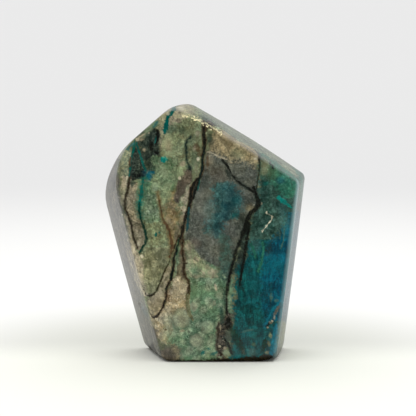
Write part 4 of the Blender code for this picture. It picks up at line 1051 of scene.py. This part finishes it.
def paint_veins(bench, colours, across, breakup, ragged, ground):
    """Stains first, then the cores over them, each colour in one go."""
    group = vein_group()
    layers = {}
    for vein in VEINS:
        middle, half = vein_lines(vein)
        along = across[vein.along]
        made = bench.group(group, {
            "Across": across[other(vein.along)], "Centre": bench.curve(along, middle),
            "Half Width": bench.curve(along, half), "Reach": vein.reach,
            "Ragged": ragged})
        for kind, colour in (("Fringe", vein.fringe), ("Core", vein.core)):
            masks = layers.setdefault((kind, colour), [])
            masks.append(made[kind])
            layers[kind, colour] = [bench.most(masks)]
    for (kind, colour), masks in sorted(layers.items(), key=lambda layer: layer[0][0] == "Core"):
        mask = bench.math("MULTIPLY", masks[0], breakup[kind])
        ground = bench.blend(mask, ground, colours[colour])
    return ground


def drifting_place(bench):
    """The place on the stone in millimetres, and its depth behind the steady front part.

    Further back the place drifts further, so that the back has its own pattern.
    """
    place = bench.scaled(bench.node("ShaderNodeTexCoord").outputs["Object"], 1 / MM)
    depth = bench.vector("DOT_PRODUCT", place, (0, 1, 0))
    depth = bench.math("SUBTRACT", depth, FRONT_Y / MM + STEADY_DEPTH)
    depth = bench.math("MAXIMUM", depth, 0.0)
    drift = bench.cloud(place, *DRIFT_NOISE).outputs["Color"]
    drift = bench.vector("SUBTRACT", drift, DRIFT_MIDDLE)
    drift = bench.scaled(drift, bench.math("MULTIPLY", depth, DRIFT_SHARE))
    return bench.vector("ADD", place, drift), depth


def finish_noises(bench, place):
    """The noises that mottle, tone and break up the finish.

    They read the place as it is before it wanders. Cycles can then work the noises out
    first, and so has room for the rest of this large shader.
    """
    noises = {name: bench.cloud(place, *settings).outputs["Fac"]
              for name, settings in NOISES.items()}
    upright = bench.node("ShaderNodeMapping", {
        "Vector": place, "Rotation": STREAK_TURN, "Scale": STREAK_STRETCH}).outputs[0]
    noises["streak"] = bench.cloud(upright, *STREAK_NOISE).outputs["Fac"]
    noises["orbs"] = bench.cells(place, ORB_SCALE, "SMOOTH_F1", "Distance", Smoothness=HALF)
    glints = bench.cells(place, GLINT_SCALE, "F1", "Color")
    noises["chance"] = bench.vector("DOT_PRODUCT", glints, (1, 0, 0))
    return noises


def thin_line(bench, value, level, width):
    """A thin line where a noise crosses a level."""
    return bench.ramp(bench.apart(value, level), THREAD_MIDDLE, width, 1, 0)


def dark_seams(bench, noises, fields):
    """Thin dark seams between lumps of mineral, open only here and there, and threads."""
    seams = bench.cells(fields, SEAM_SCALE, "DISTANCE_TO_EDGE", "Distance")
    seams = bench.product(bench.ramp(seams, *SEAM_SPAN),
                          bench.ramp(noises["cloud"], *SEAM_BREAKS), SEAM_STRENGTH)
    threads = bench.math("MULTIPLY", thin_line(bench, noises["flow"], *DARK_THREAD), HALF)
    return bench.math("MAXIMUM", seams, threads)


def pale_threads(bench, noises, fields):
    """Pale threads, fainter on the right."""
    threads = thin_line(bench, noises["thread"], *PALE_THREAD)
    return bench.product(threads, bench.ramp(noises["streak"], *PALE_BREAKS),
                         bench.ramp(fields["x"], *PALE_PLACES))


def mottles(bench, noises):
    """The textures that the pale colour of a patch follows."""
    grain = noises["grain"]
    clouds = bench.math("MULTIPLY", noises["cloud"], MIXED_CLOUD)
    mixed = bench.math("MULTIPLY_ADD", grain, MIXED_GRAIN, clouds)
    orbs = bench.math("ADD", noises["orbs"], bench.math("MULTIPLY", grain, ORB_GRAIN))
    sources = {**noises, "mixed": mixed, "orbs": orbs}
    return {name: bench.ramp(sources[source], *span)
            for name, (source, *span) in MOTTLES.items()}


def toned(bench, noises, ground):
    """Broad drifts of warmer and cooler stain, then fine crystals, darker and paler."""
    ground = bench.blend(bench.ramp(noises["swell"], *WARM_SPAN), ground,
                         bench.times(ground, WARMER))
    tone = bench.product(*(bench.ramp(noises[name], *span) for name, *span in TONES))
    return bench.times(ground, bench.grey(tone))


def golden_edge(bench, lines, chance):
    """Masks of the painted gold glints, highlights on the rough grains along the upper edge, and of the
    dull crest that they lie on.
    """
    away = bench.apart(lines["z"], bench.curve(lines["x"], GOLD_RIDGE))
    length = bench.math("MULTIPLY", bench.ramp(lines["x"], *GLINT_START),
                        bench.ramp(lines["x"], *GLINT_END))
    solid = bench.product(bench.ramp(away, *GLINT_SOLID), bench.ramp(chance, *GLINT_SOLID_CHANCE),
                          bench.ramp(lines["x"], *GLINT_THINS))
    loose = bench.math("MULTIPLY", bench.ramp(away, *GLINT_LOOSE),
                       bench.ramp(chance, *GLINT_LOOSE_CHANCE))
    gold = bench.math("MULTIPLY", length, bench.math("MAXIMUM", solid, loose))
    crest = bench.math("MULTIPLY", length, bench.ramp(away, *CREST_SPAN))
    return gold, crest


def edge_highlight_mask(bench, place, height, depth):
    """Mask of the painted highlight, a pale band down the rounded right edge of the front, fainter
    towards the foot.
    """
    out = bench.beyond(place, RIGHT_EDGE, RIGHT_EDGE_REACH)
    return bench.product(
        bench.ramp(out, *HIGHLIGHT_INNER), bench.ramp(out, *HIGHLIGHT_OUTER),
        bench.ramp(height, *HIGHLIGHT_HEIGHTS), bench.ramp(depth, *HIGHLIGHT_DEPTHS))


def stone_material(colours, sizes):
    """Polished stone: fields of mineral, then spots, then veins, all in millimetres."""
    palette = {
        name: (*getattr(colours, name), 1.0) for name in StoneColours.__annotations__}
    material = bpy.data.materials.new("polished_shattuckite")
    bench = cleared(material)
    place, depth = drifting_place(bench)
    noises = finish_noises(bench, place)
    grain = noises["grain"]

    fine = bench.wander(place, *FINE_NOISE)
    fields = bench.nudged(place, bench.wander(place, *BROAD_NOISE), BROAD_SHIFT)
    fields = bench.nudged(fields, fine, FINE_SHIFT)
    veined = bench.nudged(place, fine, VEIN_SHIFT)
    seams = dark_seams(bench, noises, fields)
    fields = bench.across(fields)
    threads = pale_threads(bench, noises, fields)
    textures = mottles(bench, noises)
    rough_edge = bench.ragged(grain, PATCH_RAGGED)
    rough_spot = bench.ragged(grain, SPOT_RAGGED)
    rough_vein = bench.ragged(noises["crumbs"], VEIN_RAGGED)
    breakup = {"Fringe": bench.ramp(grain, *FRINGE_BREAKS),
               "Core": bench.ramp(noises["speck"], *CORE_BREAKS)}

    # Each layer follows the colour beneath it a little, so that it is worked out after it
    ground = bench.blend(textures["cloud"], palette["olive"], palette["leaf_pale"])
    ground = paint_patches(bench, palette, textures, fields, rough_edge, ground)
    ground = bench.blend(seams, ground, palette["charcoal"])
    ground = bench.blend(threads, ground, bench.times(ground, PALER))
    settled = bench.nudged(veined, ground, COLOUR_SHIFT)
    ground = paint_spots(bench, palette, settled, rough_spot, ground)
    lines = bench.across(bench.nudged(veined, ground, COLOUR_SHIFT))
    ground = paint_veins(bench, palette, lines, breakup, rough_vein, ground)
    ground = toned(bench, noises, ground)
    # Painted highlight: gold glints along the rough upper edge
    gold, crest = golden_edge(bench, lines, noises["chance"])
    ground = bench.blend(gold, ground, palette["gold"])

    # The upper left edge, the tip and the crest are seen at a glance, where the real stone
    # mirrors a dark room, and the foot mirrors nothing
    side = bench.across(place)
    edge = bench.beyond(place, LEFT_EDGE, LEFT_EDGE_REACH)
    edge = bench.math("MULTIPLY", bench.ramp(edge, *DULL_EDGE),
                      bench.ramp(side["x"], *DULL_EDGE_ALONG))
    tip = bench.math("MULTIPLY", bench.ramp(side["z"], *DULL_TIP),
                     bench.ramp(side["x"], *DULL_TIP_ALONG))
    dull = bench.math("MAXIMUM", bench.math("MAXIMUM", edge, tip), crest)
    polish = bench.math("MULTIPLY", bench.ramp(side["z"], *POLISH_HEIGHTS),
                        bench.math("MULTIPLY_ADD", dull, DULLING, HALF))
    # Painted highlight: a pale band down the rounded right edge
    ground = bench.blend(edge_highlight_mask(bench, place, side["z"], depth), ground, palette["frost"])
    # Painted shade: the upper left edge darkened, in place of the dark room that it mirrors
    ground = bench.blend(bench.math("MULTIPLY", edge, EDGE_PAINTED_SHADE), ground, BLACK)

    height = bench.math("ADD", bench.math("MULTIPLY", grain, RELIEF_GRAIN), noises["swell"])
    bump = bench.node("ShaderNodeBump", {
        "Strength": BUMP_STRENGTH, "Distance": BUMP_HEIGHT, "Height": height}).outputs[0]
    rough = bench.ramp(noises["speck"], *GLOSS_SPAN, sizes.gloss, sizes.gloss + GLOSS_SPREAD)
    shader = bench.node("ShaderNodeBsdfPrincipled", {
        "Base Color": ground, "IOR": QUARTZ_IOR, "Normal": bump, "Specular IOR Level": polish,
        "Roughness": rough})
    bench.node("ShaderNodeOutputMaterial", {"Surface": shader.outputs[0]})
    return material


def curve_table(points, samples=256):
    """The places and values of a curve through the given points, close enough to read between."""
    tree = bpy.data.node_groups.new("curve_table", "ShaderNodeTree")
    mapping = tree.nodes.new("ShaderNodeFloatCurve").mapping
    fill_curve(mapping, points)
    mapping.initialize()
    ordered = sorted(points)
    places = np.linspace(ordered[0][0], ordered[-1][0], samples)
    values = np.array([mapping.evaluate(mapping.curves[0], p) for p in places])
    bpy.data.node_groups.remove(tree)
    return places, values


def read_lines(lines, axis, places):
    """Each point's place across a vein or patch, and its two lines' values there."""
    along, across = (2, 0) if axis == "z" else (0, 2)
    values = [np.interp(places[:, along], *curve_table(points)) for points in lines]
    return places[:, across], *values


def groove_depths(places):
    """How deep each point lies in the veins of the front face, from 0 to 1."""
    depth = np.zeros(len(places))
    for vein in VEINS:
        if vein.depth:
            across, centre, width = read_lines(vein_lines(vein), vein.along, places)
            past = np.abs(across - centre) - width
            share = np.clip(1 - (past + GROOVE_INSET) / GROOVE_FADE, 0, 1)
            depth = np.maximum(depth, share * share * (3 - 2 * share) * vein.depth)
    return depth


def patch_share(name, places):
    """How far each point lies in the named patch, from 0 to 1."""
    patch = next(p for p in PATCHES if p.name == name)
    across, low, high = read_lines(patch_lines(patch), patch.along, places)
    return np.clip(np.minimum(across - low, high - across) / patch.edge, 0, 1)


def relief(places, spacing, seed):
    """Smooth seeded noise at each point, about -1 to 1."""
    shift = Vector((seed, -seed, 2 * seed))
    return np.array([noise.noise(Vector(p) / spacing + shift) for p in places])


def roughness(places, spacings, fine_share, seeds):
    """A coarse relief with a share of a fine one."""
    coarse, fine = (relief(places, *pair) for pair in zip(spacings, seeds))
    return coarse + fine_share * fine


def rounded_foot(places, reach):
    """The bottom edge drawn in on a quarter circle, all round the flat that it stands on."""
    below = np.clip(reach - places[:, 2], 0, reach)
    inward = reach - np.sqrt(reach * reach - below * below)
    low = places[places[:, 2] < reach, :2]
    middle = (low.min(axis=0) + low.max(axis=0)) / 2
    half = (low.max(axis=0) - low.min(axis=0)) / 2
    places[:, :2] = middle + (places[:, :2] - middle) * (1 - inward[:, None] / half)
    return places


def carve(mesh, sizes):
    """Sinks the veins, pits and chip, raises the golden crust and rounds the foot."""
    count = len(mesh.vertices)
    places = np.zeros(count * 3)
    mesh.vertices.foreach_get("co", places)
    normals = np.zeros(count * 3, np.float32)
    mesh.vertices.foreach_get("normal", normals)
    places, normals = places.reshape(-1, 3), normals.reshape(-1, 3).astype(float)
    spots = places / MM
    front = np.clip((-normals[:, 1] - FACING_FROM) / FACING_SPAN, 0, 1)
    push = -sizes.groove_depth * groove_depths(spots) * front

    for seed, name in enumerate(PITTED, start=PIT_SEED):
        share = patch_share(name, spots) * front
        chosen = share > 0
        seeds = (seed, seed + FINE_SEED_STEP)
        rough = roughness(spots[chosen], PIT_SPACING, PIT_FINE, seeds)
        push[chosen] -= sizes.pit_depth * share[chosen] * np.clip(PIT_BIAS + rough, 0, 1)

    ridge = np.interp(spots[:, 0], *curve_table(GOLD_RIDGE))
    near = np.clip(CRUST_FULL - np.abs(spots[:, 2] - ridge) / CRUST_REACH, 0, 1)
    near *= np.clip((spots[:, 0] - CRUST_ENDS[0]) / CRUST_FADE, 0, 1)
    near *= np.clip((CRUST_ENDS[1] - spots[:, 0]) / CRUST_FADE, 0, 1)
    near *= normals[:, 1] < 0
    chosen = near > 0
    rough = roughness(spots[chosen], CRUST_SPACING, CRUST_FINE, CRUST_SEEDS)
    push[chosen] += sizes.crust_height * near[chosen] * rough

    chip = np.linalg.norm((spots - CHIP_MIDDLE) / CHIP_SIZE, axis=1)
    push -= sizes.chip_depth * np.clip(CHIP_FULL - chip, 0, 1)
    places = rounded_foot(places + normals * push[:, None], sizes.foot_round)
    mesh.vertices.foreach_set("co", places.ravel())
    mesh.update()


def deselect_all():
    if bpy.context.object and bpy.context.object.mode != "OBJECT":
        bpy.ops.object.mode_set(mode="OBJECT")
    bpy.ops.object.select_all(action="DESELECT")


def finish_modifier(piece, name, kind, **settings):
    """Adds a modifier to the active piece and applies it."""
    made = piece.modifiers.new(name, kind)
    for setting, value in settings.items():
        setattr(made, setting, value)
    bpy.ops.object.modifier_apply(modifier=made.name)


def shape_stone(sizes):
    """A fine copy of the CAD solid, with its rounded edges kept and its facets evened out."""
    deselect_all()
    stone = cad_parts[NODE].copy()
    stone.data = stone.data.copy()
    stone.name = stone.data.name = PIECE
    stone.parent = None
    for key in list(stone.keys()):
        del stone[key]
    bpy.context.scene.collection.objects.link(stone)
    stone.select_set(True)
    bpy.context.view_layer.objects.active = stone
    bpy.ops.object.mode_set(mode="EDIT")
    bpy.ops.mesh.select_all(action="SELECT")
    bpy.ops.mesh.remove_doubles(threshold=SAME_CORNER)
    bpy.ops.object.mode_set(mode="OBJECT")
    finish_modifier(stone, "grain", "REMESH", mode="VOXEL", voxel_size=sizes.grain)
    finish_modifier(stone, "polish", "SMOOTH", factor=HALF, iterations=sizes.smoothing)
    carve(stone.data, sizes)
    bpy.ops.object.shade_smooth()
    return stone


class STONE_OT_build(bpy.types.Operator):
    """Models the polished stone over its CAD solid and gives it its finish"""

    bl_idname = "stone.build"
    bl_label = "Build the stone"

    def execute(self, context):
        stone = shape_stone(context.scene.stone_sizes)
        stone.data.materials.clear()
        stone.data.materials.append(
            stone_material(context.scene.stone_colours, context.scene.stone_sizes))
        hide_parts(NODE)
        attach(stone, "root")
        return {"FINISHED"}


def floor_material(stage):
    """Matt pale floor: painted shadow beside and behind the stone, painted light brightest just behind
    it, greyer in the distance.
    """
    material = bpy.data.materials.new("pale_floor")
    bench = cleared(material)
    place = bench.node("ShaderNodeTexCoord").outputs["Object"]
    away = bench.vector("LENGTH", place)
    behind = bench.vector("DOT_PRODUCT", place, (0, 1, 0))
    colour = bench.blend(bench.ramp(behind, *SHADOW_SPAN), (*stage.floor_front, 1),
                         (*stage.floor_painted_shadow, 1))
    colour = bench.blend(bench.ramp(away, *LIGHT_BAND_SPAN), colour, (*stage.floor_painted_light, 1))
    colour = bench.blend(bench.ramp(away, *FAR_SPAN), colour, (*stage.floor_far, 1))
    mirrored = bench.node("ShaderNodeLightPath").outputs["Is Glossy Ray"]
    colour = bench.blend(bench.math("MULTIPLY", mirrored, 1 - stage.mirrored_share), colour,
                         BLACK)
    shadow = bench.math("MULTIPLY", mirrored, bench.ramp(behind, *DARK_SPAN))
    colour = bench.blend(shadow, colour, MIRRORED_FLOOR)
    shader = bench.node("ShaderNodeBsdfDiffuse", {"Color": colour})
    bench.node("ShaderNodeOutputMaterial", {"Surface": shader.outputs[0]})
    return material


def studio_world(stage):
    """Soft light from overhead, pale walls behind and beside, and a dark room in front."""
    world = bpy.data.worlds.new("studio")
    bench = cleared(world)

    def either(choice, usual, chosen):
        return bench.node("ShaderNodeMix", {0: choice, 2: usual, 3: chosen}).outputs[0]

    way = bench.node("ShaderNodeTexCoord").outputs["Generated"]
    parts = bench.node("ShaderNodeSeparateXYZ", {0: way}).outputs
    rays = bench.node("ShaderNodeLightPath").outputs
    mirrored = rays["Is Glossy Ray"]
    ceiling = bench.ramp(parts["Z"], *CEILING_SPAN, 0, stage.ceiling_light)
    front = either(mirrored, stage.front_light, MIRRORED_ROOM)
    wall = bench.ramp(parts["Y"], *WALL_SPAN, front, stage.wall_light)
    light = bench.math("MULTIPLY", bench.math("MAXIMUM", ceiling, wall),
                       either(mirrored, 1.0, stage.mirrored_share))
    light = either(rays["Is Camera Ray"], light, BACKDROP)
    shader = bench.node("ShaderNodeBackground", {"Color": bench.grey(light), "Strength": 1.0})
    bench.node("ShaderNodeOutputWorld", {"Surface": shader.outputs[0]})
    return world


class STONE_OT_stage(bpy.types.Operator):
    """Makes the pale floor, the studio light and the camera"""

    bl_idname = "stone.stage"
    bl_label = "Build the stage"

    def execute(self, context):
        stage = context.scene.stone_stage
        deselect_all()
        bpy.ops.mesh.primitive_grid_add(
            x_subdivisions=FLOOR_CUTS, y_subdivisions=FLOOR_CUTS,
            size=2 * stage.floor_radius)
        floor = context.object
        floor.name = "floor"
        floor.data.materials.append(floor_material(stage))
        context.scene.world = studio_world(stage)
        context.scene.view_settings.view_transform = "Standard"
        lens = bpy.data.cameras.new("camera")
        camera = bpy.data.objects.new("camera", lens)
        context.scene.collection.objects.link(camera)
        lens.lens = stage.focal_length
        lens.clip_end = 3 * stage.floor_radius
        lean = stage.camera_height_angle
        back = Vector((0, -math.cos(lean), math.sin(lean)))
        camera.location = Vector(stage.aim) + back * stage.camera_distance
        camera.rotation_euler = (math.pi / 2 - lean, 0, 0)
        context.scene.camera = camera
        return {"FINISHED"}


class STONE_PT_panel(bpy.types.Panel):
    """The stone's operators and settings"""

    bl_label = "Shattuckite stone"
    bl_idname = "STONE_PT_panel"
    bl_space_type = "VIEW_3D"
    bl_region_type = "UI"
    bl_category = "Stone"

    def draw(self, context):
        for operator in (STONE_OT_build, STONE_OT_stage):
            self.layout.operator(operator.bl_idname)
        for settings in ("stone_sizes", "stone_stage", "stone_colours"):
            group = getattr(context.scene, settings)
            box = self.layout.box()
            for name in type(group).__annotations__:
                box.prop(group, name)


CLASSES = (StoneColours, StoneSizes, StageSettings, STONE_OT_build, STONE_OT_stage,
           STONE_PT_panel)


def register():
    for cls in CLASSES:
        bpy.utils.register_class(cls)
    bpy.types.Scene.stone_colours = PointerProperty(type=StoneColours)
    bpy.types.Scene.stone_sizes = PointerProperty(type=StoneSizes)
    bpy.types.Scene.stone_stage = PointerProperty(type=StageSettings)


def unregister():
    del bpy.types.Scene.stone_stage
    del bpy.types.Scene.stone_sizes
    del bpy.types.Scene.stone_colours
    for cls in reversed(CLASSES):
        bpy.utils.unregister_class(cls)


def main():
    register()
    bpy.ops.stone.build()
    bpy.ops.stone.stage()


if __name__ == "__main__":
    main()
